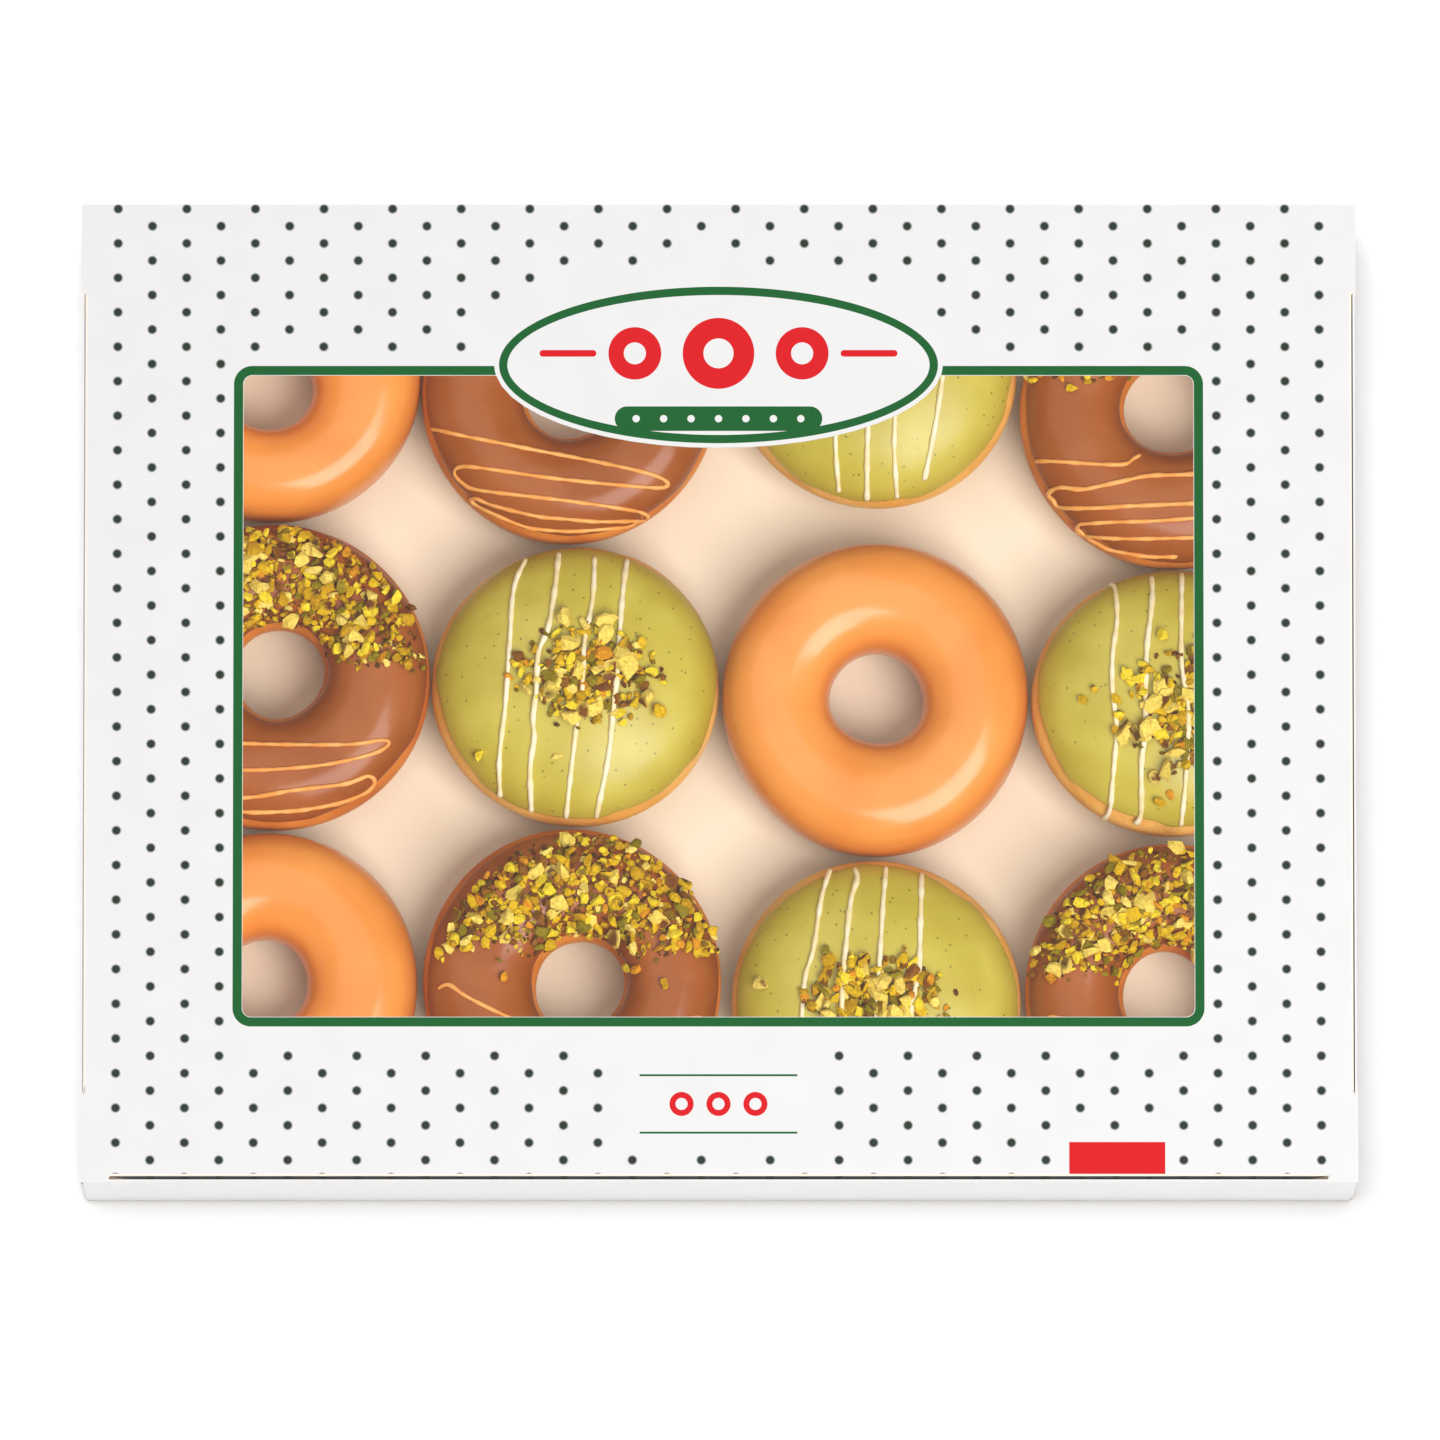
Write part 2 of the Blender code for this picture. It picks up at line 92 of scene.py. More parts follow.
def linear(code: str) -> tuple[float, float, float, float]:
    """Turns an sRGB hex colour to linear red, green, blue and alpha.

    Args:
        code: the colour, such as "#fbaa62".

    Returns:
        The linear colour: v / 12.92 below 0.04045, else ((v + 0.055) / 1.055) to the
        power 2.4.
    """
    parts = [int(code[k : k + 2], 16) / 255 for k in (1, 3, 5)]
    bright = [v / 12.92 if v <= 0.04045 else ((v + 0.055) / 1.055) ** 2.4 for v in parts]
    return (bright[0], bright[1], bright[2], 1.0)


def feed(tree: Tree, node: Node, inputs: Inputs) -> None:
    """Feeds a node's inputs: a socket is linked, and anything else is set.

    Args:
        tree: the material's node tree.
        node: the node.
        inputs: a value or a socket for each input, by place or by name.
    """
    pairs = inputs.items() if isinstance(inputs, Mapping) else enumerate(inputs)
    for key, value in pairs:
        if isinstance(value, Socket):
            tree.links.new(value, node.inputs[key])
        else:
            node.inputs[key].default_value = value


def add_node(
    tree: Tree, kind: str, inputs: Inputs = (), output: int | str = 0, **settings
) -> Socket:
    """Adds a node with its settings, and feeds its inputs.

    Args:
        tree: the material's node tree.
        kind: the node's type, without "ShaderNode" in front.
        inputs: a value or a socket for each input, by place or by name.
        output: the wanted output, by place or name.
        settings: the node's own properties.

    Returns:
        The wanted output socket.
    """
    node = tree.nodes.new("ShaderNode" + kind)
    for name, value in settings.items():
        setattr(node, name, value)
    feed(tree, node, inputs)
    return node.outputs[output]


def smooth_step(low: float, high: float, value: np.ndarray) -> np.ndarray:
    """Goes from 0 at low to 1 at high along 3t^2 - 2t^3."""
    share = np.clip((value - low) / (high - low), 0, 1)
    return share * share * (3 - 2 * share)


def signed_power(value: np.ndarray, exponent: float) -> np.ndarray:
    """A power that keeps the value's sign, for a superellipse."""
    return np.sign(value) * np.abs(value) ** exponent


# Meshes.


def grid_faces(rows: int, columns: int, wrap_rows: bool, wrap_columns: bool) -> np.ndarray:
    """The quads of a grid of points that is stored row by row.

    Args:
        rows: number of rows.
        columns: number of points in a row.
        wrap_rows: whether the last row joins the first.
        wrap_columns: whether each row's last point joins its first.

    Returns:
        An array of four point numbers for each quad.
    """
    r = np.arange(rows if wrap_rows else rows - 1)[:, None]
    c = np.arange(columns if wrap_columns else columns - 1)[None, :]
    next_r, next_c = (r + 1) % rows, (c + 1) % columns
    corners = (
        r * columns + c, r * columns + next_c, next_r * columns + next_c, next_r * columns + c
    )
    return np.stack([np.broadcast_to(k, (r.size, c.size)) for k in corners], axis=-1).reshape(-1, 4)


@dataclass
class Shell:
    """A closed surface as points and quads, whose equal points are merged."""

    points: np.ndarray
    quads: np.ndarray
    tones: np.ndarray | None = None

    @classmethod
    def from_grid(cls, grid: np.ndarray, wrap_rows: bool, wrap_columns: bool) -> "Shell":
        """A shell from an array of rows of points."""
        rows, columns = grid.shape[:2]
        return cls(grid.reshape(-1, 3), grid_faces(rows, columns, wrap_rows, wrap_columns))

    @classmethod
    def joined(cls, shells: Sequence["Shell"]) -> "Shell":
        """Several shells without tones as one, each keeping its own points.

        Args:
            shells: the shells, at least one.

        Returns:
            The joined shell.
        """
        starts = np.cumsum([0] + [len(s.points) for s in shells])
        quads = [s.quads + start for s, start in zip(shells, starts)]
        return cls(np.concatenate([s.points for s in shells]), np.concatenate(quads))

    def to_object(
        self, name: str, material: bpy.types.Material, smooth: bool = True
    ) -> bpy.types.Object:
        """Puts the shell into a mesh object.

        Points in the same place become one, a quad that this folds is written as a
        triangle, and the faces are turned outwards where the signed volume, a sixth of
        the sum of each face's triple product, is below zero.

        Args:
            name: the piece's name.
            material: its finish.
            smooth: whether its faces are shaded round.

        Returns:
            The new object, at the origin.
        """
        key = np.round(self.points / 1e-7).astype(np.int64)
        _, first, place = np.unique(key, axis=0, return_index=True, return_inverse=True)
        points = self.points[first]
        quads = place.reshape(-1)[self.quads]
        at_start = quads[:, 0] == quads[:, 1]
        at_end = quads[:, 2] == quads[:, 3]
        triangles = np.concatenate(
            [quads[at_start & ~at_end][:, 1:], quads[at_end & ~at_start][:, :3]]
        )
        quads = quads[~at_start & ~at_end]
        a, b, c, d = (points[quads[:, k]] for k in range(4))
        volume = np.einsum("ij,ij->", a, np.cross(b, c) + np.cross(c, d))
        if volume < 0:
            quads, triangles = quads[:, ::-1], triangles[:, ::-1]
        mesh = bpy.data.meshes.new(name)
        mesh.from_pydata(points.tolist(), [], quads.tolist() + triangles.tolist())
        if self.tones is not None:
            layer = mesh.attributes.new(ChoppedNut.attribute, "FLOAT_COLOR", "POINT")
            layer.data.foreach_set("color", self.tones[first].astype(np.float32).ravel())
        if smooth:
            mesh.shade_smooth()
        else:
            mesh.shade_flat()
        mesh.materials.append(material)
        piece = bpy.data.objects.new(name, mesh)
        bpy.context.scene.collection.objects.link(piece)
        return piece


# Finishes.


@dataclass(frozen=True)
class Finish:
    """A procedural material on one Principled shader."""

    name: str

    def material(self) -> bpy.types.Material:
        """The material, made once and then found by name.

        Returns:
            The material.
        """
        found = bpy.data.materials.get(self.name)
        if found:
            return found
        made = bpy.data.materials.new(self.name)
        made.use_nodes = True
        self.paint(made.node_tree, made.node_tree.nodes["Principled BSDF"])
        return made

    def paint(self, tree: Tree, shader: Node) -> None:
        """Sets the shader's sockets and adds what feeds them."""
        raise NotImplementedError

    def place(self, tree: Tree) -> Socket:
        """The point on the piece in millimetres."""
        where = add_node(tree, "TexCoord", output="Object")
        return add_node(tree, "VectorMath", {0: where, "Scale": 1 / MM}, operation="SCALE")


class Sheet(Enum):
    """Which part of the carton's sheet of board is painted."""

    TRAY = "coated paperboard tray"
    LID = "coated paperboard lid"


@dataclass(frozen=True)
class CoatedBoard(Finish):
    """Folding boxboard: a clay-coated white face with flat print, and a cream back.

    The coat gives a soft sheen and takes the print's clean edges. The lid's print is a
    staggered polka dot, a green line round the window and the label, plain rings and a
    bar on the label, small rings between two rules under the window, and a red field at
    the front edge. The dots run on over the back fold and the tuck fold.

    Lengths are in millimetres. A box or an oval is its middle and its half sizes, a line
    is where it starts and ends beside its edge, and a ring is the spacing from one to the
    next, their y, the middle of the line's radius and half the line's width.
    """

    sheet: Sheet = Sheet.LID
    white: str = "#e7e7e8"
    dull: str = "#e3e3e4"
    # The tray's back is warmer than the lid's back of the same board: partly the board's own cream,
    # partly painted warm light bounced off the doughnuts.
    tray_cream_with_bounce: str = "#f2e1c9"
    tray_cream_dull_with_bounce: str = "#eedcc1"
    lid_cream: str = "#f1e8d8"
    lid_cream_dull: str = "#ebe1cf"
    cut_edge: str = "#e4ddd2"
    green: str = "#145f2c"
    dot_green: str = "#2a3730"
    red: str = "#d6141e"
    half: tuple[float, float] = (190.5, 147.0)
    top: float = 57.0
    dot_pitch: tuple[float, float] = (10.26, 10.4)
    dot_radius: float = 1.34
    dot_edge: float = 0.3
    bare_side: float = 9.0
    bare_border: float = 6.6
    bare_field: float = 3.0
    window: tuple[float, float, float, float] = (0.0, -1.1, 141.9, 96.4)
    window_corner: float = 2.6
    window_line: tuple[float, float] = (0.15, 2.9)
    label: tuple[float, float, float, float] = (0.0, 98.5, 67.0, 25.0)
    label_line: tuple[float, float] = (1.4, 3.9)
    bar: tuple[float, float, float, float] = (0.0, 82.3, 31.0, 3.7)
    pip: tuple[float, float, float, float] = (8.2, 82.3, 0.0, 1.1)
    side_ring: tuple[float, float, float, float] = (25.0, 102.0, 5.6, 2.3)
    middle_ring: tuple[float, float, float, float] = (0.0, 102.0, 7.6, 3.1)
    rule: tuple[float, float, float, float] = (45.0, 102.0, 8.5, 1.0)
    emblem: tuple[float, float, float, float] = (0.0, -123.6, 34.0, 15.0)
    small_ring: tuple[float, float, float, float] = (11.0, -123.6, 2.7, 0.9)
    upper_rule: tuple[float, float, float, float] = (0.0, -115.0, 23.5, 0.3)
    lower_rule: tuple[float, float, float, float] = (0.0, -132.2, 23.5, 0.3)
    red_field: tuple[float, float, float, float] = (118.7, -141.2, 14.3, 6.2)
    sharp_corner: float = 0.05
    # The least product of place and direction, in millimetres, that makes a face the
    # sheet's outside; how far under the top its upper face may lie; and the board's depth
    # where its cut edges show.
    outward_least: float = 1.0
    skim: float = 0.08
    board: float = 0.57
    grain: float = 14.0
    # Fibre lumps under the coat are under 1 mm; drawn at 1.4 mm so that they show.
    fibre: float = 1.4

    def paint(self, tree: Tree, shader: Node) -> None:
        """Cream board back, and the white printed face where the sheet's outside shows.

        Args:
            tree: the material's node tree.
            shader: its Principled shader.
        """
        add = partial(add_node, tree)
        where = self.place(tree)
        facing = add("TexCoord", output="Normal")
        place = tuple(add("SeparateXYZ", [where], k) for k in range(3))
        grain = add("TexNoise", {"Vector": where, "Scale": 1 / self.grain, "Detail": 0.0})
        white = add("Mix", {0: grain, 6: linear(self.white), 7: linear(self.dull)}, **COLOUR)
        if self.sheet is Sheet.TRAY:
            # The tray's back colours hold painted warm bounce light off the doughnuts as well as
            # the board's cream.
            creams = linear(self.tray_cream_with_bounce), linear(self.tray_cream_dull_with_bounce)
        else:
            creams = linear(self.lid_cream), linear(self.lid_cream_dull)
        back = add("Mix", {0: grain, 6: creams[0], 7: creams[1]}, **COLOUR)
        # A face is the sheet's outside where its direction leads away from the middle.
        outward = add("VectorMath", [where, facing], operation="MULTIPLY")
        ox, oy = (add("SeparateXYZ", [outward], k) for k in range(2))
        outward = add("Math", [ox, oy], operation="ADD")
        outer = add("Math", [outward, self.outward_least], operation="GREATER_THAN")
        if self.sheet is Sheet.TRAY:
            face, printed = self.tray_print(tree, place, facing, white, outer)
        else:
            nz = add("SeparateXYZ", [facing], 2)
            above = add("Math", [place[2], self.top - self.skim], operation="GREATER_THAN")
            upward = add("Math", [nz, FACING], operation="GREATER_THAN")
            panel = add("Math", [above, upward], operation="MULTIPLY")
            face = self.lid_print(tree, place, facing, panel, white)
            printed = add("Math", [panel, outer], operation="MAXIMUM")
            # The cut edges of the window show the board's grey-cream core.
            level = add("Math", [nz], operation="ABSOLUTE")
            upright = add("Math", [level, FACING], operation="LESS_THAN")
            high = add("Math", [place[2], self.top - self.board], operation="GREATER_THAN")
            cut = add("Math", [high, upright], operation="MULTIPLY")
            back = add("Mix", {0: cut, 6: back, 7: linear(self.cut_edge)}, **COLOUR)
        fibre = add("TexNoise", {"Vector": where, "Scale": 1 / self.fibre, "Detail": 0.0})
        feed(tree, shader, {
            "Base Color": add("Mix", {0: printed, 6: back, 7: face}, **COLOUR),
            "Roughness": 0.5,
            "IOR": 1.48,
            "Specular IOR Level": 0.2,
            "Normal": add("Bump", {"Strength": 1.0, "Distance": 0.02 * MM, "Height": fibre}),
        })

    def tray_print(
        self, tree: Tree, place: Sequence[Socket], facing: Socket, white: Socket, outer: Socket
    ) -> tuple[Socket, Socket]:
        """The tray's face: white, with the dots going on down the back wall.

        The side walls and the front wall are rolled over at the top, so that their white
        face shows inside too.

        Args:
            tree: the material's node tree.
            place: the point's x, y and z in millimetres.
            facing: the face's direction.
            white: the white face's colour.
            outer: 1 where the walls' outside shows.

        Returns:
            The face's colour, and 1 where the face shows.
        """
        add = partial(add_node, tree)
        x, y, z = place
        ny, nz = (add("SeparateXYZ", [facing], k) for k in (1, 2))
        rolled_over, underside, inside_floor = 4.0, 0.3, 1.5
        backward = add("Math", [ny, FACING], operation="GREATER_THAN")
        behind = add("Math", [y, self.half[1] - 1.0], operation="GREATER_THAN")
        back_wall = add("Math", [backward, behind], operation="MULTIPLY")
        v = add("Math", [self.half[1] + self.top, z], operation="SUBTRACT")
        dots = self.dots(tree, x, v, self.dot_middle(tree, x, v))
        dots = add("Math", [dots, back_wall], operation="MULTIPLY")
        face = add("Mix", {0: dots, 6: white, 7: linear(self.dot_green)}, **COLOUR)
        downward = add("Math", [nz, -FACING], operation="LESS_THAN")
        low = add("Math", [z, underside], operation="LESS_THAN")
        under = add("Math", [downward, low], operation="MULTIPLY")
        aside = add("Math", [x], operation="ABSOLUTE")
        side = add("Math", [aside, self.half[0] - rolled_over], operation="GREATER_THAN")
        front = add("Math", [y, rolled_over - self.half[1]], operation="LESS_THAN")
        rolled = add("Math", [side, front], operation="MAXIMUM")
        raised = add("Math", [z, inside_floor], operation="GREATER_THAN")
        rolled = add("Math", [rolled, raised], operation="MULTIPLY")
        under = add("Math", [under, rolled], operation="MAXIMUM")
        return face, add("Math", [outer, under], operation="MAXIMUM")

    def lid_print(
        self, tree: Tree, place: Sequence[Socket], facing: Socket, panel: Socket, white: Socket
    ) -> Socket:
        """The lid's colours: dots, window line, label, emblem and red field over the white.

        Args:
            tree: the material's node tree.
            place: the point's x, y and z in millimetres.
            facing: the face's direction.
            panel: 1 on the top panel's upper face.
            white: the white face's colour.

        Returns:
            The printed colour.
        """
        add = partial(add_node, tree)
        x, y, z = place
        # The sheet's own plan: past the tuck fold it goes on downwards.
        ny = add("SeparateXYZ", [facing], 1)
        tuck = add("Math", [ny, -FACING], operation="LESS_THAN")
        past = add("Math", [z, self.half[1] + self.top], operation="SUBTRACT")
        v = add("Mix", {0: tuck, 2: y, 3: past})
        flat = add("CombineXYZ", [x, v, 0.0])
        window = self.box_gap(tree, flat, self.window, self.window_corner)
        label = self.oval_gap(tree, flat, self.label)
        # A line is where the gap is less than half its width away from its middle.
        low, high = self.window_line
        line = add("Math", [window, (low + high) / 2, (high - low) / 2], operation="COMPARE")
        outside = add("Math", [label, 0.0], operation="GREATER_THAN")
        line = add("Math", [line, outside], operation="MULTIPLY")
        low, high = self.label_line
        within = add("Math", [0.0, label], operation="SUBTRACT")
        edge = add("Math", [within, (low + high) / 2, (high - low) / 2], operation="COMPARE")
        green, red = self.motifs(tree, flat)
        green = add("Math", [green, edge], operation="MAXIMUM")
        green = add("Math", [green, line], operation="MAXIMUM")
        pips = self.rings(tree, flat, range(-3, 4), self.pip)
        green = add("Math", [green, pips], operation="SUBTRACT", use_clamp=True)
        spread = add("Math", [panel, tuck], operation="MAXIMUM")
        dots = add("Math", [self.clear_dots(tree, x, v), spread], operation="MULTIPLY")
        green = add("Math", [green, panel], operation="MULTIPLY")
        red = add("Math", [red, panel], operation="MULTIPLY")
        face = add("Mix", {0: dots, 6: white, 7: linear(self.dot_green)}, **COLOUR)
        face = add("Mix", {0: green, 6: face, 7: linear(self.green)}, **COLOUR)
        return add("Mix", {0: red, 6: face, 7: linear(self.red)}, **COLOUR)

    def motifs(self, tree: Tree, flat: Socket) -> tuple[Socket, Socket]:
        """The label's bar, rings and rules, the emblem's rings and rules, and the red field.

        Args:
            tree: the material's node tree.
            flat: the point on the sheet's plan.

        Returns:
            1 where it is green, and 1 where it is red.
        """
        add = partial(add_node, tree)
        bar = self.box_gap(tree, flat, self.bar, self.bar[3])
        upper = self.box_gap(tree, flat, self.upper_rule, 0.1)
        lower = self.box_gap(tree, flat, self.lower_rule, 0.1)
        nearest = add("Math", [upper, lower], operation="MINIMUM")
        nearest = add("Math", [nearest, bar], operation="MINIMUM")
        green = add("Math", [nearest, 0.0], operation="LESS_THAN")
        x, *rest = self.rule
        left = self.box_gap(tree, flat, (-x, *rest), self.rule[3])
        right = self.box_gap(tree, flat, (x, *rest), self.rule[3])
        nearest = add("Math", [left, right], operation="MINIMUM")
        red_field = self.box_gap(tree, flat, self.red_field, self.sharp_corner)
        nearest = add("Math", [nearest, red_field], operation="MINIMUM")
        red = add("Math", [nearest, 0.0], operation="LESS_THAN")
        for steps, ring in (
            ((-1, 1), self.side_ring),
            ((0,), self.middle_ring),
            ((-1, 0, 1), self.small_ring),
        ):
            rings = self.rings(tree, flat, steps, ring)
            red = add("Math", [red, rings], operation="MAXIMUM")
        return green, red

    def box_gap(self, tree: Tree, flat: Socket, box: Sequence[float], corner: float) -> Socket:
        """The distance outside a rectangle with round corners.

        With q = |p - centre| - half + corner, it is the length of q where that is above
        zero, plus the smaller of 0 and q's larger part, less the corner.

        Args:
            tree: the material's node tree.
            flat: the point on the sheet's plan.
            box: the rectangle's middle and half sizes.
            corner: the corners' radius.

        Returns:
            The distance in millimetres, below zero inside.
        """
        add = partial(add_node, tree)
        x, y, half_w, half_d = box
        straight = (half_w - corner, half_d - corner, 0.0)
        aside = add("VectorMath", [flat, (x, y, 0.0)], operation="SUBTRACT")
        aside = add("VectorMath", [aside], operation="ABSOLUTE")
        q = add("VectorMath", [aside, straight], operation="SUBTRACT")
        out = add("VectorMath", [q, (0.0, 0.0, 0.0)], operation="MAXIMUM")
        length = add("VectorMath", [out], "Value", operation="LENGTH")
        qx, qy = (add("SeparateXYZ", [q], k) for k in range(2))
        larger = add("Math", [qx, qy], operation="MAXIMUM")
        within = add("Math", [larger, 0.0], operation="MINIMUM")
        total = add("Math", [length, within], operation="ADD")
        return add("Math", [total, corner], operation="SUBTRACT")

    def oval_gap(self, tree: Tree, flat: Socket, oval: Sequence[float]) -> Socket:
        """The distance outside an ellipse, close to its edge.

        With f = length(p / half), it is f (f - 1) / length(p / half^2).

        Args:
            tree: the material's node tree.
            flat: the point on the sheet's plan.
            oval: the ellipse's middle and half sizes.

        Returns:
            The distance in millimetres, below zero inside.
        """
        add = partial(add_node, tree)
        x, y, half_w, half_d = oval
        per_half = (1 / half_w, 1 / half_d, 0.0)
        aside = add("VectorMath", [flat, (x, y, 0.0)], operation="SUBTRACT")
        near = add("VectorMath", [aside, per_half], operation="MULTIPLY")
        steep = add("VectorMath", [near, per_half], operation="MULTIPLY")
        f = add("VectorMath", [near], "Value", operation="LENGTH")
        slope = add("VectorMath", [steep], "Value", operation="LENGTH")
        less = add("Math", [f, 1.0], operation="SUBTRACT")
        rise = add("Math", [f, less], operation="MULTIPLY")
        return add("Math", [rise, slope], operation="DIVIDE")

    def dot_middle(self, tree: Tree, u: Socket, v: Socket) -> Socket:
        """The middle of the nearest dot of a staggered polka dot.

        The columns lie half a pitch beside the whole pitches, so a column is u / pitch
        rounded down plus a half. Every second column is shifted by half a pitch, and the
        row is the shifted v / pitch rounded.

        Args:
            tree: the material's node tree.
            u: the sheet's plan, across.
            v: the sheet's plan, along.

        Returns:
            The dot's middle on the plan.
        """
        add = partial(add_node, tree)
        pitch_u, pitch_v = self.dot_pitch
        share_u = add("Math", [u, pitch_u], operation="DIVIDE")
        column = add("Math", [share_u], operation="FLOOR")
        odd = add("Math", [column, 2.0], operation="FLOORED_MODULO")
        shifted = add("Math", [odd, pitch_v / 2, v], operation="MULTIPLY_ADD")
        share_v = add("Math", [shifted, pitch_v], operation="DIVIDE")
        row = add("Math", [share_v], operation="ROUND")
        shift = add("Math", [odd, -pitch_v / 2], operation="MULTIPLY")
        middle_v = add("Math", [row, pitch_v, shift], operation="MULTIPLY_ADD")
        middle_u = add("Math", [column, pitch_u, pitch_u / 2], operation="MULTIPLY_ADD")
        return add("CombineXYZ", [middle_u, middle_v, 0.0])

    def dots(self, tree: Tree, u: Socket, v: Socket, middle: Socket) -> Socket:
        """Round dots with a slightly soft edge, bare along the sheet's sides.

        Args:
            tree: the material's node tree.
            u: the sheet's plan, across.
            v: the sheet's plan, along.
            middle: the nearest dot's middle.

        Returns:
            1 inside a dot.
        """
        add = partial(add_node, tree)
        radius, edge = self.dot_radius, self.dot_edge
        here = add("CombineXYZ", [u, v, 0.0])
        away = add("VectorMath", [here, middle], "Value", operation="DISTANCE")
        dot = add("MapRange", [away, radius - edge, radius + edge, 1.0, 0.0])
        side = add("Math", [u], operation="ABSOLUTE")
        reach = self.half[0] - self.bare_side + radius
        side = add("Math", [side, reach], operation="LESS_THAN")
        return add("Math", [dot, side], operation="MULTIPLY")

    def clear_dots(self, tree: Tree, u: Socket, v: Socket) -> Socket:
        """The dots without those whose middle is too near the other print, so that all are whole.

        Args:
            tree: the material's node tree.
            u: the sheet's plan, across.
            v: the sheet's plan, along.

        Returns:
            1 inside a dot.
        """
        add = partial(add_node, tree)
        middle = self.dot_middle(tree, u, v)
        window = self.box_gap(tree, middle, self.window, self.window_corner)
        label = self.oval_gap(tree, middle, self.label)
        opening = add("Math", [window, label], operation="MINIMUM")
        clear = add("Math", [opening, self.bare_border], operation="GREATER_THAN")
        for box, corner, bare in (
            (self.emblem, 1.0, 0.0),
            (self.red_field, self.sharp_corner, self.bare_field),
        ):
            gap = self.box_gap(tree, middle, box, corner)
            away = add("Math", [gap, bare], operation="GREATER_THAN")
            clear = add("Math", [clear, away], operation="MULTIPLY")
        return add("Math", [self.dots(tree, u, v, middle), clear], operation="MULTIPLY")

    def rings(
        self, tree: Tree, flat: Socket, steps: Sequence[int], ring: Sequence[float]
    ) -> Socket:
        """Plain round rings in a row, where the distance to a centre is near their radius.

        Args:
            tree: the material's node tree.
            flat: the point on the sheet's plan.
            steps: each ring's place in the row, counted in spacings.
            ring: the spacing, y, the line's middle radius and half its width.

        Returns:
            1 on a ring.
        """
        add = partial(add_node, tree)
        spacing, y, middle, half = ring
        total = 0.0
        for step in steps:
            centre = (spacing * step, y, 0.0)
            away = add("VectorMath", [flat, centre], "Value", operation="DISTANCE")
            line = add("Math", [away, middle, half], operation="COMPARE")
            total = add("Math", [total, line], operation="MAXIMUM")
        return total


@dataclass(frozen=True)
class ClearFilm(Finish):
    """Thin clear plastic film: almost all light goes through, a little is mirrored."""

    name: str = "clear window film"

    def paint(self, tree: Tree, shader: Node) -> None:
        """A nearly open shader with a weak mirror image.

        Args:
            tree: the material's node tree.
            shader: its Principled shader.
        """
        feed(tree, shader, {
            "Base Color": linear("#ffffff"), "Alpha": 0.012, "Roughness": 0.08, "IOR": 1.49,
        })


@dataclass(frozen=True)
class FriedDough(Finish):
    """Yeast dough fried golden: a dry, fine-pored crust, paler round the waist."""

    name: str = "fried dough"
    gold: str = "#e68c34"
    brown: str = "#cb6c1e"
    pale: str = "#f4b468"
    belt_height: float = 17.5

    def paint(self, tree: Tree, shader: Node) -> None:
        """Gold with browner patches, and a pale belt where the two frying sides meet.

        The patches are about 16 mm wide, and the belt's height wanders by 6 mm over
        25 mm. The pores are 1.3 mm wide and smaller, as on a fried yeast crust.

        Args:
            tree: the material's node tree.
            shader: its Principled shader.
        """
        add = partial(add_node, tree)
        where = self.place(tree)
        patches = add("TexNoise", {"Vector": where, "Scale": 1 / 16.0, "Detail": 1.0})
        patches = add("MapRange", [patches, 0.35, 0.68, 0.0, 1.0])
        colour = add("Mix", {0: patches, 6: linear(self.gold), 7: linear(self.brown)}, **COLOUR)
        z = add("SeparateXYZ", [where], 2)
        wander = add("TexNoise", {"Vector": where, "Scale": 1 / 25.0, "Detail": 0.0})
        wander = add("Math", [wander, 6.0, z], operation="MULTIPLY_ADD")
        belt = add("Math", [wander, self.belt_height], operation="SUBTRACT")
        belt = add("Math", [belt], operation="ABSOLUTE")
        belt = add("MapRange", [belt, 1.5, 5.0, 0.6, 0.0])
        pores = add("TexNoise", {"Vector": where, "Scale": 1 / 1.3, "Detail": 2.0})
        feed(tree, shader, {
            "Base Color": add("Mix", {0: belt, 6: colour, 7: linear(self.pale)}, **COLOUR),
            "Roughness": 0.55,
            "IOR": 1.45,
            "Specular IOR Level": 0.3,
            "Normal": add("Bump", {"Strength": 1.0, "Distance": 0.3 * MM, "Height": pores}),
        })


@dataclass(frozen=True)
class SugarGlaze(Finish):
    """A thin sugar glaze that has set clear over fried dough: warm, smooth and glossy."""

    name: str = "sugar glaze"
    lit: str = "#f69d46"
    gold: str = "#f19138"
    # deep is painted shade: the tone low on the ring, where its sides turn away from the lamps.
    deep: str = "#de7c26"

    def paint(self, tree: Tree, shader: Node) -> None:
        """Orange gold with a deeper tone low on the ring, which is painted shade, under a clear
        coat with soft waves.

        The dough's patches are about 22 mm wide, and the glaze's waves 9 mm.

        Args:
            tree: the material's node tree.
            shader: its Principled shader.
        """
        add = partial(add_node, tree)
        where = self.place(tree)
        patches = add("TexNoise", {"Vector": where, "Scale": 1 / 22.0, "Detail": 1.0})
        patches = add("MapRange", [patches, 0.35, 0.7, 0.0, 1.0])
        colour = add("Mix", {0: patches, 6: linear(self.lit), 7: linear(self.gold)}, **COLOUR)
        z = add("SeparateXYZ", [where], 2)
        # Painted shade: the glaze turns to the deep tone lower on the ring, where its sides face
        # away from the lamps above.
        low = add("MapRange", [z, 31.0, 20.0, 0.0, 1.0])
        waves = add("TexNoise", {"Vector": where, "Scale": 1 / 9.0, "Detail": 1.0})
        feed(tree, shader, {
            "Base Color": add("Mix", {0: low, 6: colour, 7: linear(self.deep)}, **COLOUR),
            "Roughness": 0.38,
            "IOR": 1.46,
            "Specular IOR Level": 0.3,
            "Coat Weight": 0.6,
            "Coat Roughness": 0.19,
            "Coat IOR": 1.5,
            "Normal": add("Bump", {"Strength": 1.0, "Distance": 0.35 * MM, "Height": waves}),
        })


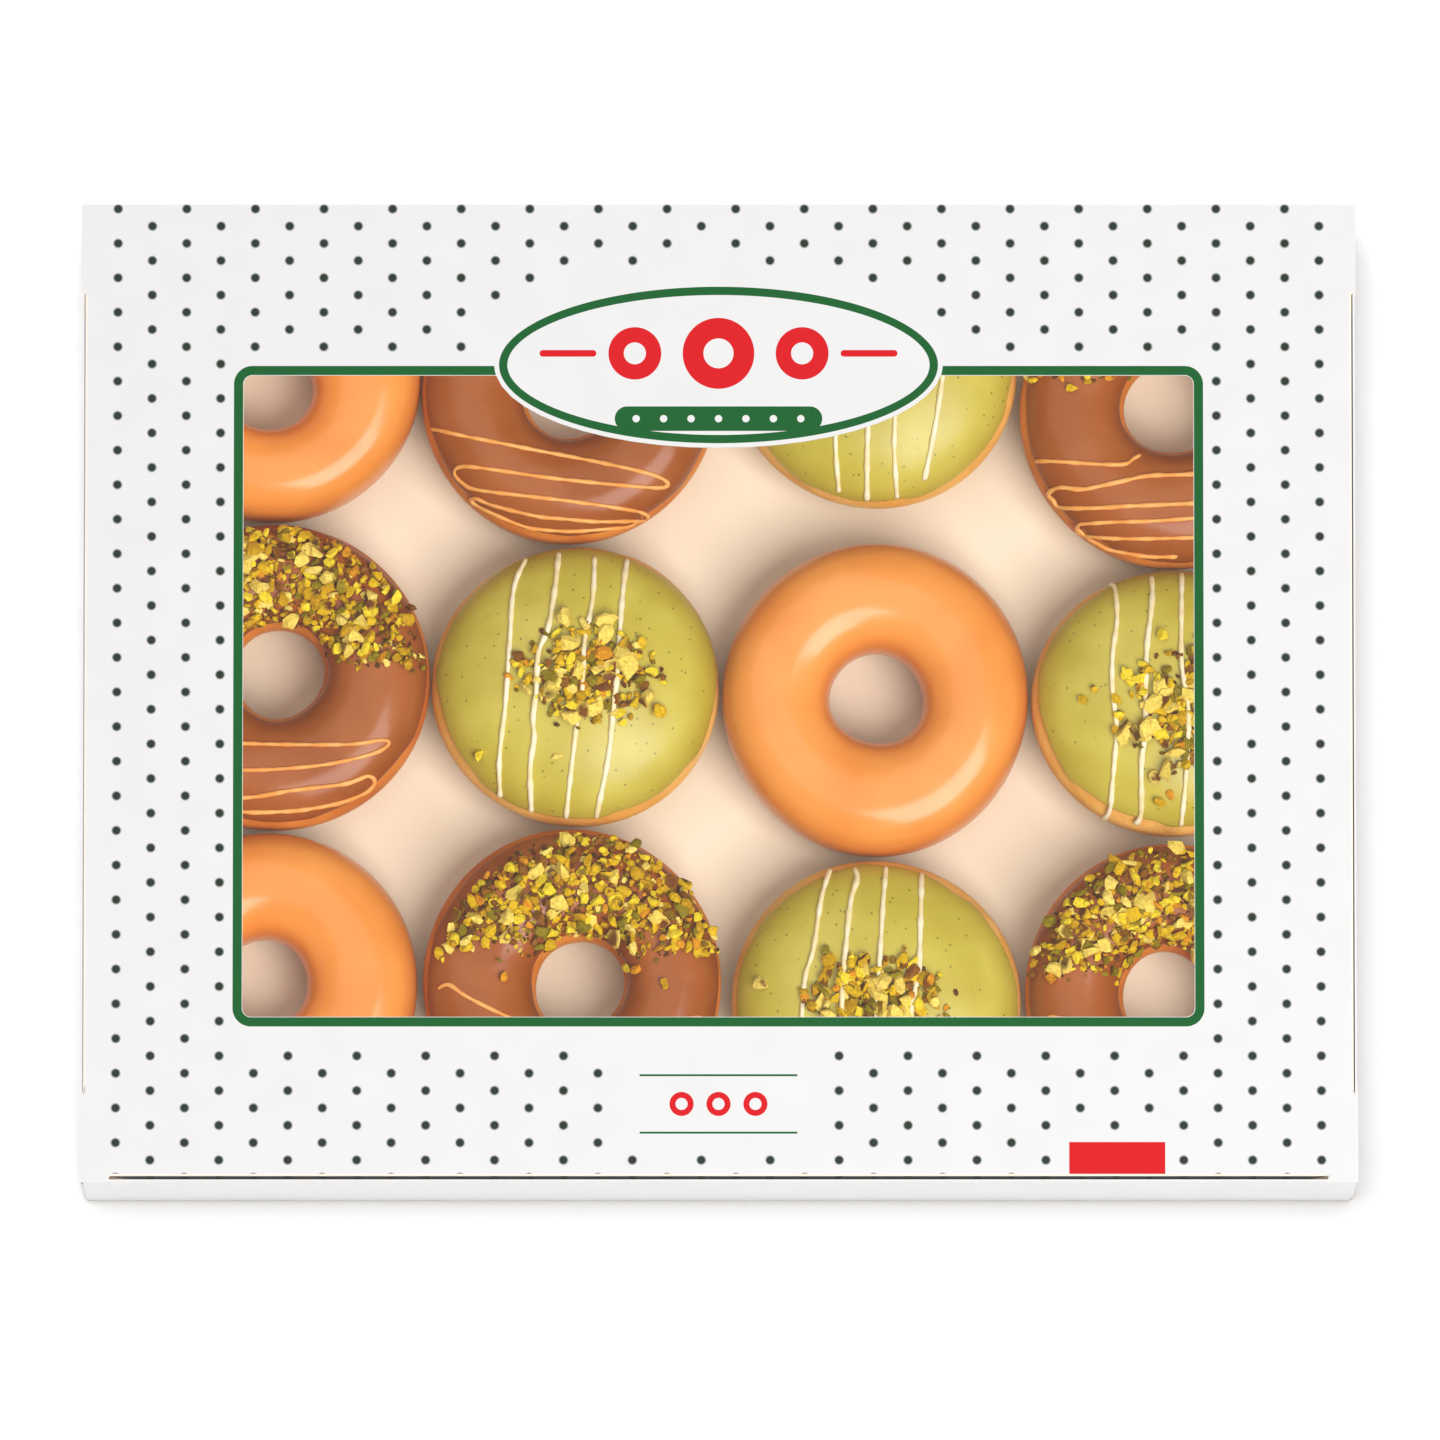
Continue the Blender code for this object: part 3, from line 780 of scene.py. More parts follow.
@dataclass(frozen=True)
class PouredIcing(Finish):
    """Icing that was dipped and has set: smooth, with soft waves and a satin skin."""

    name: str = "poured icing"
    main: str = "#a15317"
    patch: str = "#ab5e26"
    low: str = "#8a440c"
    speck: str = ""
    roughness: float = 0.33
    coat: float = 0.25
    coat_roughness: float = 0.17

    def paint(self, tree: Tree, shader: Node) -> None:
        """Two near tones in soft patches, deeper towards the rim, and nut specks if any.

        The patches are about 18 mm wide and the waves 7 mm. The specks are ground nut,
        under 0.5 mm wide and about 3.4 mm apart.

        Args:
            tree: the material's node tree.
            shader: its Principled shader.
        """
        add = partial(add_node, tree)
        where = self.place(tree)
        patches = add("TexNoise", {"Vector": where, "Scale": 1 / 18.0, "Detail": 1.0})
        patches = add("MapRange", [patches, 0.38, 0.66, 0.0, 1.0])
        colour = add("Mix", {0: patches, 6: linear(self.main), 7: linear(self.patch)}, **COLOUR)
        z = add("SeparateXYZ", [where], 2)
        deep = add("MapRange", [z, 32.0, 21.0, 0.0, 1.0])
        colour = add("Mix", {0: deep, 6: colour, 7: linear(self.low)}, **COLOUR)
        if self.speck:
            cells = add("TexVoronoi", {"Vector": where, "Scale": 1 / 3.4})
            specks = add("MapRange", [cells, 0.07, 0.13, 0.75, 0.0])
            colour = add("Mix", {0: specks, 6: colour, 7: linear(self.speck)}, **COLOUR)
        waves = add("TexNoise", {"Vector": where, "Scale": 1 / 7.0, "Detail": 1.0})
        feed(tree, shader, {
            "Base Color": colour,
            "Roughness": self.roughness,
            "IOR": 1.47,
            "Specular IOR Level": 0.22,
            "Coat Weight": self.coat,
            "Coat Roughness": self.coat_roughness,
            "Normal": add("Bump", {"Strength": 1.0, "Distance": 0.3 * MM, "Height": waves}),
        })


@dataclass(frozen=True)
class PipedSugar(Finish):
    """Piped sugar icing in a thin thread: smooth, rounded and slightly waxy."""

    name: str = "piped sugar"
    main: str = "#fab564"
    shade: str = "#f09f4a"

    def paint(self, tree: Tree, shader: Node) -> None:
        """Two near tones that take turns about every 5 mm of the thread.

        Args:
            tree: the material's node tree.
            shader: its Principled shader.
        """
        add = partial(add_node, tree)
        drift = add("TexNoise", {"Vector": self.place(tree), "Scale": 1 / 5.0, "Detail": 0.0})
        drift = add("MapRange", [drift, 0.35, 0.65, 0.0, 1.0])
        colour = add("Mix", {0: drift, 6: linear(self.main), 7: linear(self.shade)}, **COLOUR)
        feed(tree, shader, {
            "Base Color": colour,
            "Roughness": 0.35,
            "IOR": 1.46,
            "Specular IOR Level": 0.3,
        })


@dataclass(frozen=True)
class ChoppedNut(Finish):
    """Chopped pistachio: waxy cut faces in yellow green, with some brown skin.

    tones are the cut faces' colours and shares how often each comes; pale is the inside
    that big pieces show, and skins the brown skin's colours.
    """

    name: str = "chopped pistachio"
    tones: tuple[str, ...] = (
        "#e0b60c", "#c89a06", "#f0d42c", "#8c7a06", "#f6da6c", "#dc9414", "#8a5612",
    )
    shares: tuple[float, ...] = (0.28, 0.18, 0.16, 0.11, 0.09, 0.08, 0.1)
    pale: str = "#f4d660"
    skins: tuple[str, ...] = ("#7c4a12", "#6e3a14", "#86680e", "#5c3c08")
    attribute: ClassVar[str] = "nut_tone"

    def paint(self, tree: Tree, shader: Node) -> None:
        """Each crumb's own tone, mottled in patches of about 0.9 mm.

        Args:
            tree: the material's node tree.
            shader: its Principled shader.
        """
        add = partial(add_node, tree)
        tone = add("Attribute", output="Color", attribute_name=self.attribute)
        mottle = add("TexNoise", {"Vector": self.place(tree), "Scale": 1 / 0.9, "Detail": 1.0})
        mottle = add("MapRange", [mottle, 0.3, 0.7, 0.8, 1.15])
        feed(tree, shader, {
            "Base Color": add("VectorMath", {0: tone, "Scale": mottle}, operation="SCALE"),
            "Roughness": 0.5,
            "IOR": 1.47,
            "Specular IOR Level": 0.1,
        })


@dataclass(frozen=True)
class StudioFloor(Finish):
    """A seamless white sweep under the object."""

    name: str = "white studio floor"

    def paint(self, tree: Tree, shader: Node) -> None:
        """Matt white, barely uneven over about 300 mm.

        Args:
            tree: the material's node tree.
            shader: its Principled shader.
        """
        add = partial(add_node, tree)
        grain = add("TexNoise", {"Vector": self.place(tree), "Scale": 1 / 300.0, "Detail": 0.0})
        white = add("Mix", {0: grain, 6: linear("#fdfdfd"), 7: linear("#f9f9f9")}, **COLOUR)
        feed(tree, shader, {
            "Base Color": white,
            "Roughness": 0.9,
            "Specular IOR Level": 0.1,
        })


# Doughnuts.


class Topping(Enum):
    """What a doughnut is finished with, named as the record's material slot."""

    GLAZE = "glazed_dough"
    CHOCOLATE = "chocolate_icing"
    PISTACHIO = "pistachio_icing"


@dataclass(frozen=True)
class Recipe:
    """One doughnut's place in the carton, in millimetres.

    centre and half are its middle and half sizes, hole the hole's offset and radius.
    tip is how far the icing sits off centre: the degrees of section by which its rim
    climbs, and the direction in which it climbs most. nuts is the lowest line of the
    crumbs on a ring, as y at its left side and y at its right side; bald is by how much
    they stay away from the outline, and the direction in which they do so most. heap is
    the crumbs' heap on a bun, as its middle and half sizes, and strays are single crumbs
    as x, y and size.
    """

    topping: Topping
    centre: tuple[float, float]
    half: tuple[float, float]
    hole: tuple[float, float, float] | None = None
    tip: tuple[float, float] = (0.0, 0.0)
    nuts: tuple[float, float] | None = None
    bald: tuple[float, float] = (0.0, 0.0)
    heap: tuple[float, float, float, float] | None = None
    strays: tuple[tuple[float, float, float], ...] = ()


# Row 1 is at the back and column 1 at the left.
RECIPES: dict[str, Recipe] = {
    "r1c1": Recipe(Topping.GLAZE, (-134.7, 100.5), (45.9, 44.4), (-0.9, -3.9, 12.9)),
    "r1c2": Recipe(Topping.CHOCOLATE, (-44.9, 94.6), (44.7, 44.9), (0.0, 0.0, 13.2), (4, 200)),
    "r1c3": Recipe(Topping.PISTACHIO, (47.1, 102.2), (43.0, 42.0), heap=(2.0, 9.0, 22.0, 15.0)),
    "r1c4": Recipe(
        Topping.CHOCOLATE, (136.2, 88.5), (45.9, 46.3), (-0.6, 1.8, 13.6), (5, 180), (9.0, 16.0)
    ),
    "r2c1": Recipe(
        Topping.CHOCOLATE, (-132.6, 9.1), (46.2, 46.3), (0.9, 1.1, 13.4), (3, 270), (17.0, 2.0),
        (1.5, 50),
    ),
    "r2c2": Recipe(
        Topping.PISTACHIO, (-42.7, 6.4), (43.4, 42.4), tip=(3, 215), heap=(3.0, 1.5, 23.0, 15.5),
        strays=(
            (-28.9, -21.6, 3.8), (-5.2, -23.2, 2.6), (-3.0, 18.6, 5.2), (20.5, -6.8, 6.4),
            (5.3, -8.4, 6.0), (-2.0, 10.8, 5.6), (24.0, -9.5, 4.4),
        ),
    ),
    "r2c3": Recipe(Topping.GLAZE, (47.1, 2.6), (46.1, 47.4), (0.3, 0.0, 13.8)),
    "r2c4": Recipe(
        Topping.PISTACHIO, (135.7, 1.4), (42.0, 40.3), tip=(8, 225), heap=(5.0, -4.0, 21.0, 21.0),
        strays=((-23.4, 2.3, 2.8), (-26.3, -1.2, 3.0), (-3.7, -30.8, 3.4), (-0.5, -29.6, 2.8)),
    ),
    "r3c1": Recipe(Topping.GLAZE, (-135.4, -83.9), (45.6, 46.2), (-0.7, 1.1, 12.9)),
    "r3c2": Recipe(
        Topping.CHOCOLATE, (-44.0, -82.3), (44.9, 45.5), (2.5, -1.8, 13.3), (8, 115), (7.5, 6.0),
        (5.0, 140),
        strays=((-20.4, -0.3, 3.0), (27.9, -2.9, 3.2), (16.8, 3.4, 3.4), (20.1, 1.9, 3.0)),
    ),
    "r3c3": Recipe(
        Topping.PISTACHIO, (47.1, -88.6), (43.6, 42.4), tip=(6, 90), heap=(1.0, -1.0, 22.0, 16.0),
        strays=((-33.4, 3.4, 4.2), (-15.0, 13.2, 3.0)),
    ),
    "r3c4": Recipe(
        Topping.CHOCOLATE, (136.2, -86.3), (44.9, 45.2), (-2.1, -1.1, 13.4), (3, 100), (4.0, 6.0),
        (2.0, 125),
    ),
}

# The piped threads' routes, in millimetres from each doughnut's centre.
ROUTES: dict[str, tuple[tuple[tuple[float, float], ...], ...]] = {
    "r1c2": (
        (
            (-41.6, -11.1), (-31.9, -14.1), (-16.7, -17.2), (-1.5, -20.0), (13.7, -23.2),
            (24.8, -25.8), (29.5, -27.8), (27.4, -29.4), (16.7, -29.2), (-4.5, -27.1),
            (-22.7, -24.4), (-31.9, -23.1), (-34.3, -24.5), (-31.9, -27.6), (-27.7, -29.9),
            (-16.7, -31.8), (-1.5, -33.7), (13.7, -35.6), (21.8, -36.5), (23.5, -37.3),
            (20.8, -38.6), (9.5, -39.6), (-2.4, -38.9), (-10.7, -37.9), (-22.7, -34.6),
            (-27.7, -32.3), (-29.1, -32.6), (-25.6, -35.2), (-15.3, -40.0), (-8.1, -41.7),
            (2.7, -42.2), (16.3, -40.6), (21.2, -38.4),
        ),
    ),
    "r1c3": (
        (
            (-10.3, 30.0), (-10.0, 12.0), (-11.4, -6.1), (-12.0, -23.8), (-10.9, -38.2),
        ),
        (
            (-0.7, 31.8), (-1.3, 11.9), (-1.9, -9.2), (-2.5, -26.8), (-2.5, -40.5),
        ),
        (
            (8.8, 31.9), (7.1, 11.9), (6.2, -9.1), (5.6, -25.3), (6.5, -39.9),
        ),
        (
            (22.0, 28.5), (21.4, 12.2), (20.2, -3.0), (17.8, -19.3), (14.5, -35.0),
        ),
    ),
    "r1c4": (
        (
            (-41.5, -14.9), (-31.3, -16.1), (-22.1, -16.8), (-14.6, -16.7), (-11.6, -14.7),
            (-9.3, -13.3),
        ),
        (
            (19.4, -18.9), (6.0, -19.7), (-7.2, -20.2), (-14.6, -21.8), (-23.3, -23.7),
            (-27.7, -24.2), (-34.0, -23.3), (-37.0, -24.5), (-35.6, -26.5), (-33.3, -28.8),
            (-23.9, -29.8), (-12.8, -29.4), (5.7, -28.6), (19.4, -27.9),
        ),
        (
            (20.9, -31.9), (6.0, -33.0), (-7.5, -33.9), (-23.9, -34.0), (-28.0, -34.0),
            (-28.2, -35.6), (-24.2, -37.5), (-12.8, -38.8), (5.7, -38.6), (17.9, -37.4),
        ),
        (
            (-28.7, -34.6), (-25.5, -37.4), (-22.0, -39.5), (-17.4, -41.6), (-7.4, -43.6),
            (1.8, -43.8),
        ),
    ),
    "r2c1": (
        (
            (-32.5, -21.0), (-9.0, -21.7), (20.3, -22.0), (31.9, -20.5), (33.7, -21.7),
            (28.9, -24.6), (17.3, -27.6), (5.1, -29.1), (-9.0, -29.7), (-29.6, -28.7),
        ),
        (
            (-25.3, -36.8), (-9.0, -37.7), (5.1, -35.7), (20.3, -33.6), (27.6, -31.0),
            (29.4, -32.7), (25.9, -36.0), (17.3, -39.3), (5.1, -41.4), (-9.0, -41.6),
            (-19.0, -39.6),
        ),
    ),
    "r2c2": (
        (
            (-14.8, 38.1), (-18.6, 27.5), (-19.8, 9.1), (-21.0, -7.5), (-22.8, -23.1),
            (-22.6, -34.3),
        ),
        (
            (-5.1, 39.5), (-6.3, 27.2), (-8.3, 14.9), (-11.0, 7.7), (-11.6, -3.0),
            (-12.7, -11.8), (-12.4, -17.7), (-13.6, -26.3), (-13.3, -38.7),
        ),
        (
            (5.6, 38.1), (5.0, 24.0), (2.6, 10.7), (2.0, -3.0), (0.2, -14.8), (-1.6, -29.2),
            (-3.0, -40.8),
        ),
        (
            (15.3, 37.8), (13.8, 24.2), (12.6, 5.9), (11.5, -6.0), (9.7, -23.5),
            (6.0, -40.7),
        ),
    ),
    "r2c4": (
        (
            (-18.4, 35.4), (-16.8, 33.3), (-16.3, 23.2), (-17.7, 11.9), (-17.7, 1.0),
            (-16.6, -7.3), (-16.6, -12.7), (-17.7, -25.8), (-18.3, -32.6), (-19.5, -34.7),
            (-21.5, -35.0),
        ),
        (
            (-5.8, 37.2), (-5.8, 28.8), (-7.4, 14.5), (-7.9, 0.8), (-7.9, -10.1),
            (-9.1, -20.8), (-9.1, -34.2), (-11.0, -37.4),
        ),
        (
            (3.2, 38.7), (2.9, 23.0), (2.9, 9.0), (4.6, -1.9), (4.8, -10.1), (4.0, -26.1),
            (2.8, -38.2),
        ),
        (
            (14.0, 36.6), (14.2, 21.4), (15.1, 1.5), (14.2, -19.3), (11.9, -36.4),
        ),
    ),
    "r3c2": (
        (
            (-40.3, -3.9), (-36.7, -2.7), (-31.7, -6.2), (-23.0, -10.7), (-12.8, -14.8),
            (1.2, -17.4), (17.6, -16.7), (35.5, -12.7), (39.4, -13.5), (35.5, -16.8),
            (20.6, -21.7), (-3.3, -23.0), (-24.2, -19.9), (-32.5, -18.1), (-33.7, -19.7),
            (-27.2, -24.7), (-9.3, -28.9), (11.6, -29.5), (26.5, -25.9),
        ),
    ),
    "r3c3": (
        (
            (-13.5, 39.1), (-16.3, 29.3), (-18.6, 13.9), (-21.0, 5.6), (-22.2, -7.5),
            (-23.7, -22.7), (-24.6, -31.0),
        ),
        (
            (-6.5, 39.5), (-5.6, 35.4), (-7.4, 29.1), (-8.6, 18.6), (-9.5, 7.7),
            (-10.4, -7.7), (-11.4, -24.8), (-12.3, -37.1),
        ),
        (
            (3.1, 39.9), (2.0, 25.9), (1.1, 10.1), (-0.1, -7.7), (-1.3, -25.4),
            (-1.9, -38.8),
        ),
        (
            (13.7, 38.0), (13.2, 19.9), (12.7, 7.8), (10.6, -4.1), (8.8, -20.7),
            (7.6, -36.1),
        ),
    ),
    "r3c4": (
        (
            (-37.9, -8.0), (-28.3, -10.1), (-17.4, -14.0), (2.5, -16.4), (22.0, -13.5),
            (34.3, -9.9), (35.5, -12.2), (28.3, -16.6), (10.4, -20.2), (-10.4, -20.7),
            (-25.4, -19.1), (-31.3, -19.5), (-30.1, -22.5), (-19.4, -26.9), (1.5, -29.9),
            (19.4, -28.0),
        ),
    ),
}


@dataclass(frozen=True)
class CrumbLayer:
    """One layer of nut crumbs on a ring.

    pitch is the spacing of its places, lift how high it lies, share how many of the
    places have a crumb, and size the crumbs' usual size, in millimetres.
    """

    pitch: float
    lift: float
    share: float
    size: float


# A layer of dust and small bits, and two coarse ones over it.
CRUMB_LAYERS = (
    CrumbLayer(1.9, 0.0, 0.9, 1.5),
    CrumbLayer(2.5, 0.4, 0.92, 2.6),
    CrumbLayer(3.1, 1.5, 0.6, 2.7),
)
# A crumb starts as a ball of this many turns and tilts, and is cut by this many planes.
CHIP_TURNS, CHIP_TILTS, CHIP_PLANES = 7, 5, 6
# Crumbs above the first size show their pale inside, and those below the second are dust.
BIG_CRUMB, DUST_CRUMB = 4.7, 1.9
# How high over the icing a stray lies, and how deep a crumb's lowest point is sunk.
STRAY_LIFT, SUNK = 0.3, 0.45


@dataclass
class Doughnut:
    """One doughnut: its dough, and where it has them its icing, threads and nut crumbs.

    Lengths are in millimetres. floor is the tray's upper face, a bun's waist is its widest
    height and its rise what lies over it, and the powers are those of the section's
    superellipse. icing is the icing's thickness and bead the width of its round edge. The
    rims are the icing's edges as degrees of tilt. turns and tilts are the grid's size.
    """

    label: str
    recipe: Recipe
    floor: float = 0.9
    ring_height: float = 33.0
    bun_waist: float = 17.0
    bun_rise: float = 21.0
    ring_power: float = 2.35
    bun_power: float = 2.3
    icing: float = 1.8
    bead: float = 1.4
    ring_rim: float = 19.0
    bun_rim: float = 13.0
    hole_rim: float = 159.0
    caramel_radius: float = 0.68
    sugar_radius: float = 0.8
    turns: int = 160
    tilts: int = 80
    phase: float = field(init=False)
    waves: np.random.Generator = field(init=False)
    swells: np.ndarray = field(init=False)

    def __post_init__(self) -> None:
        """Draws the outline's phase as the frame does, and seeds the rest by the label."""
        self.phase = random.Random(self.label).uniform(0, FULL_TURN)
        self.waves = np.random.default_rng(int.from_bytes(self.label.encode(), "big"))
        self.swells = self.waves.uniform(0, FULL_TURN, 12)

    @property
    def holed(self) -> bool:
        """Whether it is a ring."""
        return self.recipe.hole is not None

    def outer(self, turn: np.ndarray) -> np.ndarray:
        """The outline's radius: an ellipse less 0.5% of 1 + sin(3 turn + phase).

        Args:
            turn: the angle round the doughnut.

        Returns:
            The radius in millimetres.
        """
        half_w, half_d = self.recipe.half
        ellipse = 1 / np.hypot(np.cos(turn) / half_w, np.sin(turn) / half_d)
        return ellipse * (1 - 0.005 * (1 + np.sin(3 * turn + self.phase)))

    def inner(self, turn: np.ndarray) -> np.ndarray:
        """The hole's radius: 2% waves of two and three humps, and its offset along the turn.

        Args:
            turn: the angle round the doughnut.

        Returns:
            The radius in millimetres.
        """
        x, y, radius = self.recipe.hole
        wave = 1 + 0.02 * np.sin(2 * turn + self.phase) + 0.02 * np.sin(3 * turn - self.phase)
        return radius * wave + x * np.cos(turn) + y * np.sin(turn)

    def swell(self, x: np.ndarray, y: np.ndarray, tilt: np.ndarray) -> np.ndarray:
        """Gentle hollows in the top, up to 0.9 mm deep.

        The square of the tilt's sine, which is nothing at the waist, times three waves
        over x and y that are 38 to 71 mm long.

        Args:
            x: places across.
            y: places along.
            tilt: the angle round the section.

        Returns:
            How far each place lies below the plain form, in millimetres.
        """
        s = self.swells
        waves = 1.5 + 0.5 * (
            np.sin(x / 14 + y / 19 + s[0])
            + np.sin(x / 17 - y / 11 + s[1])
            + np.sin(x / 8 + y / 9 + s[2])
        )
        return 0.3 * waves * np.clip(np.sin(tilt), 0, 1) ** 2

    def surface(
        self, turn: np.ndarray, tilt: np.ndarray, inset: np.ndarray | float = 0.0
    ) -> np.ndarray:
        """Points of the doughnut's surface, in millimetres from its centre and the floor's top.

        turn goes round the doughnut and tilt round its section, 90 degrees on top. The
        section is a superellipse: reach = middle + half cos(tilt)^(2/p) and height =
        waist + rise sin(tilt)^(2/p), both less the inset. A bun's middle is 0.

        Args:
            turn: the angle round the doughnut.
            tilt: the angle round the section.
            inset: how far below the outer surface.

        Returns:
            An array of points.
        """
        outer = self.outer(turn)
        if self.holed:
            inner = self.inner(turn)
            p, waist, rise = self.ring_power, self.ring_height / 2, self.ring_height / 2
            middle, half = (outer + inner) / 2, (outer - inner) / 2
        else:
            p, waist = self.bun_power, self.bun_waist
            rise = np.where(tilt > 0, self.bun_rise, waist)
            middle, half = 0.0, outer
        plain = middle + half * signed_power(np.cos(tilt), 2 / p)
        inset = inset + self.swell(plain * np.cos(turn), plain * np.sin(turn), tilt)
        reach = middle + (half - inset) * signed_power(np.cos(tilt), 2 / p)
        height = waist + (rise - inset) * signed_power(np.sin(tilt), 2 / p)
        return np.stack([reach * np.cos(turn), reach * np.sin(turn), height], axis=-1)

    def top_at(self, x: np.ndarray, y: np.ndarray) -> np.ndarray:
        """The upper surface's points above given places.

        The tilt whose reach is the wanted one is found by halving its range again and
        again.

        Args:
            x: places across.
            y: places along.

        Returns:
            A point above each place.
        """
        turn, wanted = np.arctan2(y, x), np.hypot(x, y)
        low = np.zeros_like(turn)
        high = np.full_like(turn, math.pi if self.holed else math.pi / 2)
        halvings = 30
        for _ in range(halvings):
            tilt = (low + high) / 2
            point = self.surface(turn, tilt)
            short = np.hypot(point[..., 0], point[..., 1]) > wanted
            low, high = np.where(short, tilt, low), np.where(short, high, tilt)
        return self.surface(turn, tilt)

    def seat(self, x: np.ndarray, y: np.ndarray) -> tuple[np.ndarray, np.ndarray]:
        """The surface above given places, and its outward direction there.

        The direction is the cross product of the surface's rises over 0.4 mm in x and y.

        Args:
            x: places across.
            y: places along.

        Returns:
            A point above each place, and a direction of length 1.
        """
        step = 0.4
        here = self.top_at(x, y)
        up = np.cross(self.top_at(x + step, y) - here, self.top_at(x, y + step) - here)
        return here, up / np.linalg.norm(up, axis=-1, keepdims=True)

    def rim(self, turn: np.ndarray) -> tuple[np.ndarray, np.ndarray]:
        """The icing's two edges: uneven lobes, drips, and the icing's lean to one side.

        The lobes are waves of 3, 5 and 11 humps, the drips the fifth power of the upper
        half of 7 humps, and the lean the climb times the cosine to its direction.

        Args:
            turn: the angle round the doughnut.

        Returns:
            The outer and the inner edge as tilts; a bun's inner edge is its top.
        """
        s = self.swells
        lobes = (
            2.2 * np.sin(3 * turn + s[3])
            + 1.6 * np.sin(5 * turn + s[4])
            + 1.0 * np.sin(11 * turn + s[5])
        )
        drips = -3.0 * np.clip(np.sin(7 * turn + s[6]), 0, 1) ** 5
        climb, toward = self.recipe.tip
        lean = climb * np.cos(turn - math.radians(toward))
        plain = self.ring_rim if self.holed else self.bun_rim
        outer = np.radians(plain + 0.8 * lobes + drips + lean)
        if not self.holed:
            return outer, np.full_like(turn, math.pi / 2)
        inner = self.hole_rim + 2.0 * np.sin(2 * turn + s[7]) + 1.5 * np.sin(5 * turn + s[8])
        return outer, np.radians(inner)

    def placed(self, points: np.ndarray) -> np.ndarray:
        """Points in the carton, in metres."""
        return (points + (*self.recipe.centre, self.floor)) * MM

    def turn_rows(self) -> np.ndarray:
        """The turns of a grid's rows, as a column."""
        return np.linspace(0, FULL_TURN, self.turns, endpoint=False)[:, None]

    def dough_shell(self) -> Shell:
        """The dough: the plain form, let down under the icing.

        At the icing's edge it lies edge_inset below the plain form, and comes up to it
        over the fade's degrees of tilt. Inwards of the edge it sinks on over the lap's
        degrees, to 0.15 mm under the icing's underside.

        Returns:
            The dough's closed shell.
        """
        edge_inset, fade, lap = 1.1, 14, 4
        turn = self.turn_rows()
        if self.holed:
            tilt = np.linspace(-math.pi, math.pi, self.tilts, endpoint=False)[None, :]
        else:
            tilt = np.linspace(-math.pi / 2, math.pi / 2, self.tilts)[None, :]
        turn, tilt = np.broadcast_arrays(turn, tilt)
        inset = np.zeros_like(turn)
        if self.recipe.topping is not Topping.GLAZE:
            outer, inner = self.rim(turn)
            past = np.degrees(outer - tilt)
            if self.holed:
                upper = np.where(tilt < -math.pi / 2, tilt + FULL_TURN, tilt)
                past = np.maximum(past, np.degrees(upper - inner))
            sink = (self.icing - 0.9) * (1 - smooth_step(-lap, 0, past))
            inset = edge_inset * (1 - smooth_step(0, fade, past)) + sink
        points = self.surface(turn, tilt, inset)
        if not self.holed:
            for pole in (points[:, 0], points[:, -1]):
                pole[:, :2] = 0
                pole[:, 2] = pole[:, 2].mean()
        return Shell.from_grid(self.placed(points), True, self.holed)

    def icing_shell(self) -> Shell:
        """The icing: a skin with a round bead at its edges, closed underneath.

        With e the distance from the edge over the bead's width, the top lies
        bead_drop (1 - sqrt(1 - (1 - e)^2)) mm under the plain form. The underside has
        every sixth column of the top.

        Returns:
            The icing's closed shell.
        """
        bead_drop, bun_spread, mm_per_radian = 1.2, 1.6, 16.5 if self.holed else 24.0
        turn = self.turn_rows()
        outer, inner = self.rim(turn)
        steps = self.tilts * 3 // 4
        if self.holed:
            share = 0.5 - 0.5 * np.cos(np.linspace(0, math.pi, steps))[None, :]
        else:
            share = np.linspace(0, 1, steps)[None, :] ** bun_spread
        tilt = outer + (inner - outer) * share
        away = (tilt - outer) * mm_per_radian
        if self.holed:
            away = np.minimum(away, (inner - tilt) * mm_per_radian)
        e = np.clip(away / self.bead, 0, 1)
        over = self.surface(turn, tilt, bead_drop * (1 - np.sqrt(1 - (1 - e) ** 2)))
        under = self.surface(turn, tilt[:, ::-6], self.icing + 0.05)
        if not self.holed:
            for pole in (over[:, -1], under[:, 0]):
                pole[:, :2] = 0
                pole[:, 2] = pole[:, 2].mean()
        rows = np.concatenate([under, over], axis=1)
        return Shell.from_grid(self.placed(rows), True, self.holed)

    def threads_shell(self) -> Shell | None:
        """The piped threads, every second one an eighth thicker.

        Returns:
            All threads of this doughnut, or None where it has none.
        """
        routes = ROUTES.get(self.label, ())
        chocolate = self.recipe.topping is Topping.CHOCOLATE
        radius = self.caramel_radius if chocolate else self.sugar_radius
        shells = [
            self.thread(np.array(route), radius * (0.94 + 0.12 * (k % 2)))
            for k, route in enumerate(routes)
        ]
        return Shell.joined(shells) if shells else None

